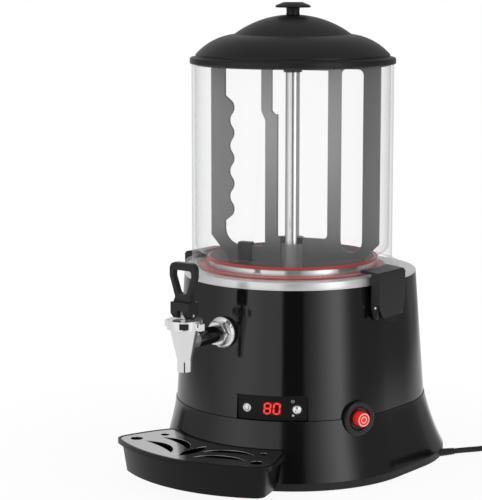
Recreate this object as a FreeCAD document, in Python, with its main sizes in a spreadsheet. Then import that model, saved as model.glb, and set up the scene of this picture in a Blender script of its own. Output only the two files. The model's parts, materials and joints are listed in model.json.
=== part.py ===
import FreeCAD, Part
import math
import os
import re
import Sketcher

# A countertop hot chocolate dispenser: a black two-part housing with a steel deck, a clear bowl
# clamped on it by two latches, a driven stirring paddle, a pull-forward tap and a drip tray.
#
# Every place is given from the bowl's axis. Y points to the rear, so the tap is at -Y, and Z is
# the height above the table. Angles on the housing are counted from the front towards +X.
# The bowl's axis stands AXIS_Y behind the origin, which is the middle of the whole footprint.

doc = FreeCAD.newDocument("Dispenser")

# ---------------------------------------------------------------------------------------------
# Driving dimensions, in millimetres and degrees
# ---------------------------------------------------------------------------------------------
SIZES = {
    # plinth and feet
    "foot_stand": 2, "foot_radius": 11, "foot_sunk": 1.5, "foot_spread": 100, "foot_inset": 88,
    "plinth_height": 9, "plinth_wall": 4, "plinth_floor": 3,
    # housing: radius of its two round ends, and how far the rear end stands behind the front one
    "base_radius": 162, "base_stretch": 62, "flare_radius": 157, "flare_stretch": 51,
    "waist_radius": 151, "waist_stretch": 46.5, "seam_radius": 146, "seam_stretch": 42,
    "seam_lip": 1, "top_radius": 136, "top_stretch": 38, "shell_wall": 2.5,
    "flare_height": 36, "waist_height": 60, "seam_height": 84, "shell_top": 241.5,
    # steel deck
    "deck_height": 10, "deck_sheet": 2, "deck_rim": 2.2, "deck_opening": 118.2,
    "deck_plate": 1.5, "deck_ring": 135.5,
    # water bath, heater and probe
    "bath_radius": 112, "vessel_wall": 1.5, "bath_flange": 128, "bath_floor": 142,
    "heater_radius": 80, "heater_wire": 4, "heater_rise": 9, "heater_leg": 24,
    "heater_pin": 3, "heater_leg_angle": 80,
    "probe_radius": 3, "probe_height": 30, "probe_reach": 62,
    # pot
    "pot_radius": 104, "pot_floor": 168, "pot_flange": 117.5, "pot_collar": 13,
    # seal and bowl
    "seal_radius": 106.5, "seal_height": 2.5, "upper_seal": 4, "upper_seal_proud": 1,
    "bowl_radius": 126, "bowl_wall": 4, "bowl_height": 253.5, "bowl_flange": 135.5,
    "bowl_flange_height": 5, "bowl_foot": 108, "bowl_foot_height": 15, "bowl_cove": 6,
    # column, shaft and bearings
    "column_radius": 9, "column_wall": 2, "column_top": 494, "column_tail": 5,
    "shaft_radius": 4, "bearing_length": 10, "running_gap": 0.05, "shaft_top": 502,
    # gear motor and its bracket
    "bracket_top": 104, "bracket_sheet": 3, "bracket_width": 150, "bracket_depth": 84,
    "bracket_foot": 17, "gearbox_radius": 36, "gearbox_height": 28, "motor_radius": 29,
    "motor_height": 46, "boss_radius": 9, "boss_height": 7, "coupling_radius": 10,
    "coupling_length": 18, "screw_radius": 2, "screw_head": 4, "screw_head_height": 2.4,
    "motor_screw_circle": 27, "motor_screw_length": 10, "foot_screw_spread": 28,
    # paddle: the near side is the one with the wavy blade
    "paddle_angle": 12.9, "paddle_reach": 116.5, "near_reach": 111.7, "paddle_thickness": 5,
    "paddle_top": 503, "paddle_bar": 6, "paddle_bottom": 176, "paddle_corner": 284,
    "paddle_chamfer": 20, "near_chamfer": 24, "near_drop": 28, "paddle_boss": 7,
    "blade_inner": 92.5, "blade_step": 7, "blade_corner": 20, "wave_middle": 83.7,
    "wave_height": 5.8, "wave_pitch": 32.4, "wave_top": 455.5, "left_slot_bottom": 273,
    "rib_step": 441, "rib_ease": 4, "rib_left": 42, "rib_left_low": 36.4, "rib_right": 28,
    "rib_right_low": 20, "centre_bottom": 287, "rib_far": 48.5, "slot_near": 65,
    "slot_far": 95, "slot_bottom": 272, "slot_rise": 2.5, "slot_corner": 7, "bush_radius": 15,
    "bush_height": 8, "bush_bottom": 279, "bush_open": 4, "hub_radius": 11.5, "hub_top": 505,
    "hub_gap": 0.3, "wiper_middle": 64, "wiper_width": 18, "wiper_depth": 11,
    "wiper_bottom": 250, "wiper_height": 27,
    # lid and knob
    "lid_gap": 0.2, "lid_radius": 128.3, "lid_rim_height": 8, "lid_wall": 3, "lid_shoulder": 121,
    "lid_shoulder_rise": 11.4, "lid_dome_radius": 74.7, "lid_neck": 73,
    "lid_neck_rise": 36.2, "lid_crown_radius": 122.4, "lid_land": 11, "lid_land_rise": 59.8,
    "lid_plug": 120.9, "lid_plug_drop": 2, "knob_stem": 8.7, "knob_radius": 22,
    "knob_flat": 12, "knob_stem_height": 9, "knob_edge": 2.6, "knob_height": 15.7, "knob_bore": 2.1,
    "knob_screw_length": 12, "knob_washer": 6,
    # tap, turned about its own axis so that its insert and slit face the user's side
    "tap_reach": 215, "tap_turn": 37.5, "spout_bottom": 151.5, "spout_radius": 8.8,
    "spout_bore": 6, "spout_height": 14, "cone_top": 203, "cone_radius": 17.2, "tap_neck": 5,
    "chamber_radius": 12, "valve_seat": 178, "slit_width": 1.6, "slit_height": 12.5,
    "shank_height": 187, "shank_radius": 10.5, "shank_bore": 6, "shank_spigot": 8,
    "spigot_length": 6, "tap_boss_reach": 19, "shank_proud": 3, "collar_gap": 0.1,
    "collar_radius": 21, "collar_height": 10.9, "collar_bore": 5.5, "collar_lug": 27,
    "lug_bite": 1, "collar_lug_width": 8, "collar_lug_height": 8, "insert_width": 11,
    "insert_height": 7, "insert_depth": 2.5, "insert_proud": 0.8, "stem_radius": 3,
    "stem_rise": 4, "stem_eye": 7.6, "cup_radius": 9, "cup_height": 8, "spring_radius": 7.5,
    "spring_wire": 1, "spring_turns": 4, "spring_gap": 0.4,
    # tap handle
    "pin_rise": 5.5, "pin_radius": 1.6, "handle_width": 38, "handle_top_rise": 16.5,
    "handle_thickness": 8, "handle_neck": 22, "handle_neck_rise": 6, "handle_shoulder_rise": 24,
    "handle_corner": 8, "handle_hole": 27, "handle_hole_rise": 2.5, "handle_bar": 9,
    "hole_corner": 3, "hole_foot": 7, "boss_width": 28, "boss_depth": 18, "boss_foot": 8,
    "boss_flare": 6, "boss_drop": 4, "boss_rise": 15.5, "boss_step": 2, "fork_gap": 0.4,
    "fork_height": 5.6,
    # tap fastening
    "gasket_radius": 18, "gasket_thickness": 3, "flange_radius": 19, "flange_thickness": 3,
    "nut_width": 28, "nut_length": 10, "lock_nut_length": 6, "hole_gap": 0.5,
    # latches
    "latch_face": 151, "latch_plate": 2.5, "latch_half_width": 29, "latch_cheek": 3.5,
    "latch_top": 258.6, "latch_arm": 1.9, "latch_rise": 2.2, "latch_edge": 3,
    "latch_bottom": 196, "latch_lip": 154.5, "latch_lip_height": 6, "latch_inner": 139.2,
    "latch_tab": 143.5, "cheek_bottom": 202, "latch_gap": 0.8, "pivot_reach": 145.5,
    "pivot_height": 216, "pivot_radius": 1.5, "bracket_half_width": 20, "barrel_radius": 2.8,
    # control panel
    "panel_start": 9, "panel_end": 44, "panel_height": 30, "panel_overlap": 3,
    "panel_gap": 0.1, "panel_skin": 1.6, "panel_radius": 143.2, "panel_flange": 140.6,
    "display_angle": 26.6, "display_width": 23, "display_height": 16.7, "display_depth": 7,
    "display_bottom": 90.6, "display_reach": 143.6, "display_inset": 1, "button_height": 98.3,
    "button_low_angle": 14.1, "button_high_angle": 38.6, "button_radius": 5.3,
    "button_proud": 1.6, "button_length": 6, "button_travel": 1.2, "button_gap": 0.3,
    "board_reach": 128, "board_width": 74, "board_height": 24, "board_thickness": 1.6,
    "tact_size": 6,
    # power switch
    "switch_angle": 69.3, "switch_height": 83.5, "bezel_radius": 21.8, "bezel_front": 151.2,
    "bezel_dish": 2.2, "bezel_dish_radius": 13, "switch_body_radius": 11.5,
    "switch_body_front": 145.3, "switch_body_length": 30, "power_radius": 8.9,
    "power_front": 159.5, "power_length": 20, "power_gap": 0.35, "power_travel": 2,
    # drip tray and its grid
    "tray_reach": 243, "tray_front_radius": 205, "tray_side_radius": 218, "tray_side_x": 98.7,
    "tray_side_y": 244.8, "tray_gap": 0.9, "tray_top": 52, "tray_bottom": 12,
    "tray_lip_height": 6, "tray_lip": 5, "tray_draft": 4.5, "tray_wall": 2.4, "tray_floor": 2.5,
    "tray_corner": 15, "tray_rear_corner": 6, "grid_thickness": 2.6, "grid_rim": 3,
    "grid_gap": 0.4, "hole_front_x": 92, "hole_front_y": 196, "hole_front_radius": 7.5,
    "hole_rear_x": 76, "hole_rear_y": 161, "hole_rear_radius": 5, "crescent_outer": 41.6,
    "crescent_inner": 172, "crescent_rise": 15, "crescent_sag": 3, "crescent_x": 47,
    "crescent_turn": 21, "crescent_front_y": 209.5, "crescent_rear_x": 41,
    "crescent_rear_y": 184, "lens_middle": 200, "lens_length": 51, "lens_width": 15.4,
    "hook_x": 52, "hook_width": 20, "hook_height": 4, "hook_bottom": 27, "hook_grip": 16,
    "hook_gap": 0.3,
    # mains lead
    "cord_radius": 3.5, "cord_rest": 3.6, "gland_inset": 7, "gland_around": 20.3,
    "gland_height": 5, "gland_turn": 58, "gland_inner": 12, "gland_radius": 4.8,
    "gland_tip": 4.1, "gland_length": 27, "gland_collar": 12, "coil_ahead": 110.5,
    "coil_aside": 98.7, "coil_radius": 42, "coil_turns": 3, "coil_layers": 2, "plug_start": 19,
    "plug_relief": 22, "plug_length": 34, "plug_width": 27, "plug_height": 21,
    "pin_width": 6.3, "pin_depth": 1.5, "pin_length": 17, "pin_pitch": 12.7,
    "earth_radius": 2.4, "earth_length": 20, "earth_drop": 5, "blade_rise": 3,
}

sheet = doc.addObject("Spreadsheet::Sheet", "Sizes")
for line, (name, size) in enumerate(SIZES.items(), 1):
    sheet.set(f"A{line}", name)
    sheet.set(f"B{line}", str(size))
    sheet.setAlias(f"B{line}", name)
doc.recompute()

# Levels and places that follow from the driving dimensions
AXIS_Y = "(tray_reach - base_radius - base_stretch) / 2"
PLINTH_TOP = "(foot_stand + plinth_height)"
PLINTH_INSIDE = "(foot_stand + plinth_floor)"
DECK_TOP = "(shell_top + deck_height)"
DECK_UNDER = f"({DECK_TOP} - deck_sheet)"
POT_RIM = f"({DECK_UNDER} + vessel_wall)"
SEAL_TOP = f"({POT_RIM} + seal_height)"
POT_TOP = f"({POT_RIM} + pot_collar)"
BOWL_TOP = f"({DECK_TOP} + bowl_height)"
FOOT_TOP = f"({SEAL_TOP} + bowl_foot_height)"
FLANGE_TOP = f"({DECK_TOP} + bowl_flange_height)"
LID_BOTTOM = f"({BOWL_TOP} + lid_gap)"
LID_SHOULDER = f"({LID_BOTTOM} + lid_shoulder_rise)"
LID_NECK = f"({LID_BOTTOM} + lid_neck_rise)"
LID_LAND = f"({LID_BOTTOM} + lid_land_rise)"
GEARBOX_TOP = "(bracket_top - bracket_sheet)"
SHAFT_BOTTOM = f"({GEARBOX_TOP} - gearbox_height + vessel_wall)"
COLLAR_BOTTOM = "(cone_top + collar_gap)"
COLLAR_TOP = f"({COLLAR_BOTTOM} + collar_height)"
PIN_HEIGHT = f"({COLLAR_TOP} + pin_rise)"
NECK_TOP = "(cone_top + tap_neck)"
CUP_TOP = "(valve_seat + cup_height)"
GRID_SEAT = "(tray_top - grid_rim)"
LIP_BOTTOM = "(tray_top - tray_lip_height)"
SKIRT_AT_LIP = (
    "(waist_radius + (flare_radius - waist_radius) * (waist_height - tray_top + tray_lip_height)"
    " / (waist_height - flare_height))"
)
# The tray's hollow back clears the skirt at its lip, at the flare and at the plinth.
TRAY_BACK = (
    f"(max({SKIRT_AT_LIP}; flare_radius - tray_lip; base_radius - tray_lip - tray_draft)"
    " + tray_gap)"
)
HOOK_END = "(flare_radius - hook_grip)"
HOUSING_AT_SHANK = (
    "(top_radius + (seam_radius - top_radius) * (shell_top - shank_height)"
    " / (shell_top - seam_height))"
)


# ---------------------------------------------------------------------------------------------
# Tools for drawing, placing and joining
# ---------------------------------------------------------------------------------------------
def bound(expression):
    """The expression with the name of each size pointed at its cell of the sheet."""
    def cell(word):
        return "Sizes." + word.group() if word.group() in SIZES else word.group()
    return re.sub(r"[a-z][a-z_]*", cell, str(expression))


def number(expression):
    """The value of an expression in sizes."""
    return float(sheet.evalExpression(bound(expression)))


def bind(item, **properties):
    """Tie each property of the item to an expression in sizes, and give the item back."""
    for name, expression in properties.items():
        item.setExpression(name.replace("__", "."), bound(expression))
    return item


def place(item, x=0, y=0, z=0):
    """Put the item's own origin at a point given from the bowl's axis on the table."""
    bind(item, Placement__Base__x=x, Placement__Base__z=z)
    return bind(item, Placement__Base__y=f"{AXIS_Y} + ({y})")


def turn(item, angle, x=0, y=0, z=0):
    """Place the item turned about the vertical."""
    item.Placement = FreeCAD.Placement(
        FreeCAD.Vector(), FreeCAD.Rotation(FreeCAD.Vector(0, 0, 1), 1)
    )
    bind(item, Placement__Rotation__Angle=angle)
    return place(item, x, y, z)


def aim(item, angle, reach, z):
    """Place the item with its own Z pointing out from the axis at the angle."""
    item.Placement = FreeCAD.Placement(
        FreeCAD.Vector(), FreeCAD.Rotation(FreeCAD.Vector(1, 0, 0), 90)
    )
    bind(item, Placement__Rotation__Axis__x=f"cos({angle})")
    bind(item, Placement__Rotation__Axis__y=f"sin({angle})")
    return place(item, f"({reach}) * sin({angle})", f"-({reach}) * cos({angle})", z)


def cylinder(radius, height):
    return bind(doc.addObject("Part::Cylinder", "Cylinder"), Radius=radius, Height=height)


def cone(bottom, top, height):
    return bind(doc.addObject("Part::Cone", "Cone"), Radius1=bottom, Radius2=top, Height=height)


def block(x, y, z, length, width, height):
    """A box by its low corner, given from the bowl's axis."""
    item = bind(doc.addObject("Part::Box", "Box"), Length=length, Width=width, Height=height)
    return place(item, x, y, z)


def face_block(angle, reach, length, depth, height, z, y="0"):
    """A box whose outer face has its middle at the reach and the angle, seen from the bowl's
    axis or from a point at y in front of it."""
    item = bind(doc.addObject("Part::Box", "Box"), Length=length, Width=depth, Height=height)
    left = f"({reach}) * sin({angle}) - ({length}) / 2 * cos({angle})"
    front = f"({y}) - ({reach}) * cos({angle}) - ({length}) / 2 * sin({angle})"
    return turn(item, angle, left, front, z)


def fuse(*shapes):
    item = doc.addObject("Part::MultiFuse", "Fuse")
    item.Shapes = list(shapes)
    return item


def common(*shapes):
    item = doc.addObject("Part::MultiCommon", "Common")
    item.Shapes = list(shapes)
    return item


def cut(base, *tools):
    item = doc.addObject("Part::Cut", "Cut")
    item.Base = base
    item.Tool = tools[0] if len(tools) == 1 else fuse(*tools)
    return item


def group(*solids):
    """Several loose solids that share one node, such as a set of screws."""
    item = doc.addObject("Part::Compound", "Group")
    item.Links = list(solids)
    return item


def rounded(base, radius, chosen):
    """Fillet the edges of the base for which the test chosen(edge) holds."""
    doc.recompute()
    item = doc.addObject("Part::Fillet", "Rounded")
    item.Base = base
    size = number(radius)
    item.Edges = [
        (index, size, size) for index, edge in enumerate(base.Shape.Edges, 1) if chosen(edge)
    ]
    return item


def new_body(name):
    return doc.addObject("PartDesign::Body", name)


def sketch_on(body, role="XY_Plane", offset=0):
    """A sketch on one of the body's own origin planes, moved along the plane's normal."""
    sketch = body.newObject("Sketcher::SketchObject", "Sketch")
    plane = [item for item in body.Origin.OriginFeatures if item.Role == role][0]
    sketch.AttachmentSupport = [(plane, "")]
    sketch.MapMode = "FlatFace"
    return bind(sketch, AttachmentOffset__Base__z=offset)


def dimension(sketch, expression, *constraint):
    """Add a dimension to the sketch and tie it to the expression."""
    index = sketch.addConstraint(Sketcher.Constraint(*constraint, number(expression)))
    sketch.setExpression(f"Constraints[{index}]", bound(expression))


def pin_point(sketch, geometry, position, x, y):
    """Hold one point of the sketch at two expressions in sizes."""
    for axis, kind, expression in ((-2, "DistanceX", x), (-1, "DistanceY", y)):
        if str(expression) == "0":
            sketch.addConstraint(Sketcher.Constraint("PointOnObject", geometry, position, axis))
        else:
            dimension(sketch, expression, kind, -1, 1, geometry, position)


def arc_between(begin, end, radius, bulge):
    """The short arc between two points, bulging to the left or right of the way along it."""
    chord = end - begin
    side = 1 if bulge == "left" else -1
    across = FreeCAD.Vector(chord.y, -chord.x, 0).normalize() * side
    centre = (begin + end) / 2 + across * math.sqrt(radius ** 2 - chord.Length ** 2 / 4)
    first, last = (end, begin) if bulge == "left" else (begin, end)
    angles = [math.atan2(point.y - centre.y, point.x - centre.x) for point in (first, last)]
    circle = Part.Circle(centre, FreeCAD.Vector(0, 0, 1), radius)
    return Part.ArcOfCircle(circle, *angles)


def outline(sketch, corners):
    """A closed outline. A corner is (x, y), or (x, y, radius, bulge) if an arc leads to it."""
    points = [FreeCAD.Vector(number(corner[0]), number(corner[1]), 0) for corner in corners]
    first = sketch.GeometryCount
    ends = []
    for index, corner in enumerate(corners):
        begin, end = points[index - 1], points[index]
        if len(corner) == 2:
            sketch.addGeometry(Part.LineSegment(begin, end), False)
            ends.append((1, 2))
        else:
            sketch.addGeometry(arc_between(begin, end, number(corner[2]), corner[3]), False)
            ends.append((2, 1) if corner[3] == "left" else (1, 2))
    count = len(corners)
    for index, corner in enumerate(corners):
        after = (index + 1) % count
        sketch.addConstraint(Sketcher.Constraint(
            "Coincident", first + index, ends[index][1], first + after, ends[after][0]
        ))
        pin_point(sketch, first + index, ends[index][1], corner[0], corner[1])
        if len(corner) == 4:
            dimension(sketch, corner[2], "Radius", first + index)
    return sketch


def circle(sketch, radius, x=0, y=0):
    middle = FreeCAD.Vector(number(x), number(y), 0)
    index = sketch.addGeometry(
        Part.Circle(middle, FreeCAD.Vector(0, 0, 1), number(radius)), False
    )
    pin_point(sketch, index, 3, x, y)
    dimension(sketch, radius, "Radius", index)
    return sketch


def stadium(sketch, radius, stretch):
    """Two round ends of one radius joined by straight sides, the front one about the axis."""
    left, front = f"-({radius})", f"-({radius})"
    return outline(sketch, [
        (radius, 0, radius, "right"), (radius, stretch),
        (0, f"{stretch} + {radius}", radius, "right"), (left, stretch, radius, "right"),
        (left, 0), (0, front, radius, "right"),
    ])


def feature(body, kind, sketch, **properties):
    item = body.newObject("PartDesign::" + kind, kind)
    item.Profile = sketch
    bind(item, **properties)
    return item


def loft(body, kind, sections):
    item = body.newObject("PartDesign::" + kind, kind)
    item.Profile = sections[0]
    item.Sections = sections[1:]
    return item


def turned(name, corners):
    """A piece turned about its own Z axis; each corner is (radius, height) or an arc to it."""
    body = new_body(name)
    sketch = outline(sketch_on(body, "XZ_Plane"), corners)
    item = body.newObject("PartDesign::Revolution", "Revolution")
    item.Profile = sketch
    item.ReferenceAxis = (sketch, ["V_Axis"])
    item.Angle = 360
    return body


def slab(name, role, corners, thickness, offset):
    """A flat piece: an outline on one of the origin planes, padded to its thickness."""
    body = new_body(name)
    sketch = outline(sketch_on(body, role, offset), corners)
    feature(body, "Pad", sketch, Length=thickness)
    return body


NODES = []


def node(name, item):
    """Name a finished piece and list it for export."""
    item.Label = name
    NODES.append(item)
    return item


# ---------------------------------------------------------------------------------------------
# Housing
# ---------------------------------------------------------------------------------------------
SKIRT = (
    (PLINTH_TOP, "base_radius", "base_stretch"), ("flare_height", "flare_radius", "flare_stretch"),
    ("waist_height", "waist_radius", "waist_stretch"),
    ("seam_height", "seam_radius + seam_lip", "seam_stretch"),
)
UPPER = (("seam_height", "seam_radius", "seam_stretch"), ("shell_top", "top_radius", "top_stretch"))


def housing_form(name, levels, hollow):
    """A tapering form through stadium sections, solid or with the shell's wall."""
    body = new_body(name)
    sections = [stadium(sketch_on(body, offset=z), radius, run) for z, radius, run in levels]
    loft(body, "AdditiveLoft", sections)
    if hollow:
        doc.recompute()
        inner = [
            stadium(sketch_on(body, offset=z), f"{radius} - shell_wall", run)
            for z, radius, run in levels
        ]
        loft(body, "SubtractiveLoft", inner)
    return place(body)


upper_form = housing_form("UpperForm", UPPER, hollow=False)
lower_form = housing_form("LowerForm", SKIRT, hollow=False)

switch_hole = [
    aim(cylinder("switch_body_radius + power_gap", "seam_radius"), "switch_angle",
        "top_radius / 2", "switch_height") for _ in range(2)
]

window = bind(cylinder("base_radius", "panel_height"), Angle="panel_end - panel_start")
turn(window, "panel_start - 90", z="seam_height")
shank_hole = aim(cylinder("shank_radius + hole_gap", "top_radius"), 0, "top_radius / 2",
                 "shank_height")
node("housing_upper", cut(housing_form("UpperShell", UPPER, hollow=True), window, shank_hole,
                          switch_hole[0]))

hook_slots = [
    block(f"{side} * hook_x - hook_width / 2 - hook_gap", "-tray_reach",
          "hook_bottom - hook_gap", "hook_width + 2 * hook_gap", "tray_reach - base_radius / 2",
          "hook_height + 2 * hook_gap") for side in (-1, 1)
]
node("housing_lower", cut(housing_form("LowerShell", SKIRT, hollow=True), switch_hole[1],
                          *hook_slots))

# ---------------------------------------------------------------------------------------------
# Plinth, feet and the screws that hold the motor bracket to it
# ---------------------------------------------------------------------------------------------
FEET = [
    (f"{side} * foot_spread", y) for side in (-1, 1)
    for y in ("-foot_inset", "base_stretch + foot_inset")
]

plinth = new_body("Plinth")
plinth_sketch = stadium(sketch_on(plinth, offset="foot_stand"), "base_radius", "base_stretch")
feature(plinth, "Pad", plinth_sketch, Length="plinth_height")
doc.recompute()
well_sketch = stadium(sketch_on(plinth, offset=PLINTH_TOP), "base_radius - plinth_wall",
                      "base_stretch")
feature(plinth, "Pocket", well_sketch, Length="plinth_height - plinth_floor")
doc.recompute()
foot_sketch = sketch_on(plinth, offset="foot_stand")
for x, y in FEET:
    circle(foot_sketch, "foot_radius", x, y)
foot_pocket = feature(plinth, "Pocket", foot_sketch, Length="foot_sunk")
foot_pocket.Reversed = True
place(plinth)
BRACKET_SCREWS = [
    (f"{side} * (bracket_width + bracket_foot) / 2", f"{end} * foot_screw_spread")
    for side in (-1, 1) for end in (-1, 1)
]
screw_holes = [
    place(cylinder("screw_radius", "plinth_height"), x, y, "foot_stand - foot_sunk")
    for x, y in BRACKET_SCREWS
]

GLAND_X = "((base_radius - gland_inset) * cos(gland_around))"
GLAND_Y = "(base_stretch + (base_radius - gland_inset) * sin(gland_around))"


def gland_axis(item, reach, z="gland_height"):
    """Lay the item along the mains lead's way out of the housing."""
    aim(item, "90 + gland_turn", 0, 0)
    return place(item, f"{GLAND_X} + ({reach}) * cos(gland_turn)",
                 f"{GLAND_Y} + ({reach}) * sin(gland_turn)", z)


gland_hole = gland_axis(cylinder("gland_radius", "gland_inner + gland_length"), "-gland_inner")
node("base_plate", cut(plinth, gland_hole, *screw_holes))
node("rubber_feet", group(*[
    place(cylinder("foot_radius", "foot_stand + foot_sunk"), x, y) for x, y in FEET
]))


def screw(x, y, z, length, down=False):
    """A pan-head screw with its head's inner face at z and its shank going up, or down."""
    head_z = f"({z}) - screw_head_height" if not down else z
    shank_z = z if not down else f"({z}) - ({length})"
    head = place(cylinder("screw_head", "screw_head_height"), x, y, head_z)
    shank = place(cylinder("screw_radius", length), x, y, shank_z)
    return fuse(head, shank)


FOOT_PLATE_TOP = f"({PLINTH_INSIDE} + bracket_sheet)"
node("bracket_screws", group(*[
    screw(x, y, FOOT_PLATE_TOP, "bracket_sheet + plinth_floor", down=True)
    for x, y in BRACKET_SCREWS
]))

# ---------------------------------------------------------------------------------------------
# Gear motor on its bridge
# ---------------------------------------------------------------------------------------------
bridge_half = [
    ("bracket_width / 2 - bracket_sheet", GEARBOX_TOP),
    ("bracket_width / 2 - bracket_sheet", PLINTH_INSIDE),
    ("bracket_width / 2 + bracket_foot", PLINTH_INSIDE),
    ("bracket_width / 2 + bracket_foot", FOOT_PLATE_TOP),
    ("bracket_width / 2", FOOT_PLATE_TOP), ("bracket_width / 2", "bracket_top"),
]
bridge_corners = bridge_half + [(f"-({x})", z) for x, z in reversed(bridge_half)]
bridge = place(slab("Bridge", "XZ_Plane", bridge_corners, "bracket_depth", "-bracket_depth / 2"))
MOTOR_SCREWS = [
    (f"motor_screw_circle * cos({angle})", f"motor_screw_circle * sin({angle})")
    for angle in (45, 135, 225, 315)
]
bridge_holes = [
    place(cylinder("screw_radius", "bracket_top"), x, y, "foot_stand")
    for x, y in BRACKET_SCREWS
] + [
    place(cylinder("screw_radius", "bracket_top"), x, y, "bracket_top / 2")
    for x, y in MOTOR_SCREWS
] + [place(cylinder("boss_radius", "bracket_top"), 0, 0, "bracket_top / 2")]
node("motor_bracket", cut(bridge, *bridge_holes))

GEARBOX_BOTTOM = f"({GEARBOX_TOP} - gearbox_height)"
gearbox_body = place(cylinder("gearbox_radius", "gearbox_height"), z=GEARBOX_BOTTOM)
gearbox_boss = place(cylinder("boss_radius", "bracket_sheet + boss_height"), z=GEARBOX_TOP)
gearbox_bore = place(cylinder("shaft_radius + running_gap", "bracket_top"),
                     z=f"{SHAFT_BOTTOM} - hub_gap")
gearbox_threads = [
    place(cylinder("screw_radius", "motor_screw_length"), x, y,
          "bracket_top - motor_screw_length") for x, y in MOTOR_SCREWS
]
node("gearbox", cut(fuse(gearbox_body, gearbox_boss), gearbox_bore, *gearbox_threads))
node("motor_can", place(cylinder("motor_radius", "motor_height"),
                        z=f"{GEARBOX_BOTTOM} - motor_height"))
node("motor_screws", group(*[
    screw(x, y, "bracket_top", "motor_screw_length", down=True) for x, y in MOTOR_SCREWS
]))

# ---------------------------------------------------------------------------------------------
# Steel deck, water bath, heater, pot and column
# ---------------------------------------------------------------------------------------------
deck = new_body("Deck")
feature(deck, "Pad", stadium(sketch_on(deck, offset="shell_top"), "top_radius", "top_stretch"),
        Length="deck_plate")
doc.recompute()
feature(deck, "Pad", circle(sketch_on(deck, offset="shell_top"), "deck_ring"),
        Length="deck_height")
doc.recompute()
hollow_sketch = circle(sketch_on(deck, offset="shell_top"), "deck_ring - deck_rim")
hollow_pocket = feature(deck, "Pocket", hollow_sketch, Length="deck_height - deck_sheet")
hollow_pocket.Reversed = True
doc.recompute()
feature(deck, "Pocket", circle(sketch_on(deck, offset=DECK_TOP), "deck_opening"),
        Length="deck_height")
node("top_deck", place(deck))

bath_cup = place(turned("BathCup", [
    ("column_radius", "bath_floor - vessel_wall"),
    ("bath_radius + vessel_wall", "bath_floor - vessel_wall"),
    ("bath_radius + vessel_wall", f"{DECK_UNDER} - vessel_wall"),
    ("bath_flange", f"{DECK_UNDER} - vessel_wall"), ("bath_flange", DECK_UNDER),
    ("bath_radius", DECK_UNDER), ("bath_radius", "bath_floor"), ("column_radius", "bath_floor"),
]))
HEATER_LEGS = [
    ("heater_radius * cos(heater_leg_angle)", f"{side} * heater_radius * sin(heater_leg_angle)")
    for side in (1, -1)
]
PROBE = ("-probe_reach", "probe_reach / 2")


def vertical_pins(radius, z, height, places):
    return [place(cylinder(radius, height), x, y, z) for x, y in places]


LEG_BOTTOM = "(bath_floor + heater_rise - heater_leg)"
bath_holes = vertical_pins("heater_pin", LEG_BOTTOM, "heater_leg", HEATER_LEGS)
bath_holes += vertical_pins("probe_radius", "bath_floor - probe_height / 2", "probe_height",
                            [PROBE])
node("water_bath", cut(bath_cup, *bath_holes,
                       aim(cylinder("shank_radius", "bath_radius"), 0, "bath_radius / 2",
                           "shank_height")))

heater_ring = bind(doc.addObject("Part::Torus", "Ring"), Radius1="heater_radius",
                   Radius2="heater_wire")
place(heater_ring, z="bath_floor + heater_rise")
node("heating_element", fuse(heater_ring, *vertical_pins("heater_pin", LEG_BOTTOM, "heater_leg",
                                                         HEATER_LEGS)))
node("temperature_probe", vertical_pins("probe_radius", "bath_floor - probe_height / 2",
                                        "probe_height", [PROBE])[0])

pot_cup = place(turned("PotCup", [
    ("column_radius", "pot_floor"), ("pot_radius + vessel_wall", "pot_floor"),
    ("pot_radius + vessel_wall", DECK_UNDER), ("pot_flange", DECK_UNDER),
    ("pot_flange", POT_RIM), ("pot_radius + vessel_wall", POT_RIM),
    ("pot_radius + vessel_wall", POT_TOP), ("pot_radius", POT_TOP),
    ("pot_radius", "pot_floor + vessel_wall"), ("column_radius", "pot_floor + vessel_wall"),
]))
node("heating_pot", cut(pot_cup, aim(cylinder("shank_radius", "pot_radius"), 0,
                                     "pot_radius / 2", "shank_height")))

COLUMN_BOTTOM = "(bath_floor - vessel_wall - column_tail)"
COLUMN_BORE = "(column_radius - column_wall)"
node("centre_column", place(turned("Column", [
    (COLUMN_BORE, COLUMN_BOTTOM), ("column_radius", COLUMN_BOTTOM),
    ("column_radius", "column_top"), (COLUMN_BORE, "column_top"),
])))


def bearing(z):
    outer = place(cylinder(COLUMN_BORE, "bearing_length"), z=z)
    return cut(outer, place(cylinder("shaft_radius + running_gap", "bearing_length"), z=z))


node("column_bearings", group(bearing(COLUMN_BOTTOM), bearing("column_top - bearing_length")))

# ---------------------------------------------------------------------------------------------
# Seal and clear bowl
# ---------------------------------------------------------------------------------------------
# The seal's lower ring lies under the bowl's foot, its upper ring closes the gap at the pot's rim.
lower_seal = place(turned("LowerSeal", [
    ("seal_radius", POT_RIM), ("pot_flange", POT_RIM), ("pot_flange", SEAL_TOP),
    ("seal_radius", SEAL_TOP),
]))
UPPER_SEAL_TOP = f"({POT_TOP} + upper_seal_proud)"
upper_seal = place(turned("UpperSeal", [
    ("pot_radius + vessel_wall", f"{UPPER_SEAL_TOP} - upper_seal"),
    ("bowl_foot - 4 * running_gap", f"{UPPER_SEAL_TOP} - upper_seal"),
    ("bowl_foot - 4 * running_gap", UPPER_SEAL_TOP),
    ("pot_radius + vessel_wall", UPPER_SEAL_TOP),
]))
node("bowl_seal", group(lower_seal, upper_seal))

BOWL_INNER = "(bowl_radius - bowl_wall)"
node("bowl", place(turned("Bowl", [
    ("bowl_foot", SEAL_TOP), ("deck_opening", SEAL_TOP), ("deck_opening", DECK_TOP),
    ("bowl_flange", DECK_TOP), ("bowl_flange", FLANGE_TOP), ("bowl_radius", FLANGE_TOP),
    ("bowl_radius", BOWL_TOP), (BOWL_INNER, BOWL_TOP),
    (BOWL_INNER, f"{FOOT_TOP} + bowl_cove"), ("bowl_foot + bowl_cove / 2", FOOT_TOP),
    ("bowl_foot", f"{FOOT_TOP} - bowl_cove / 2"),
])))

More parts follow.
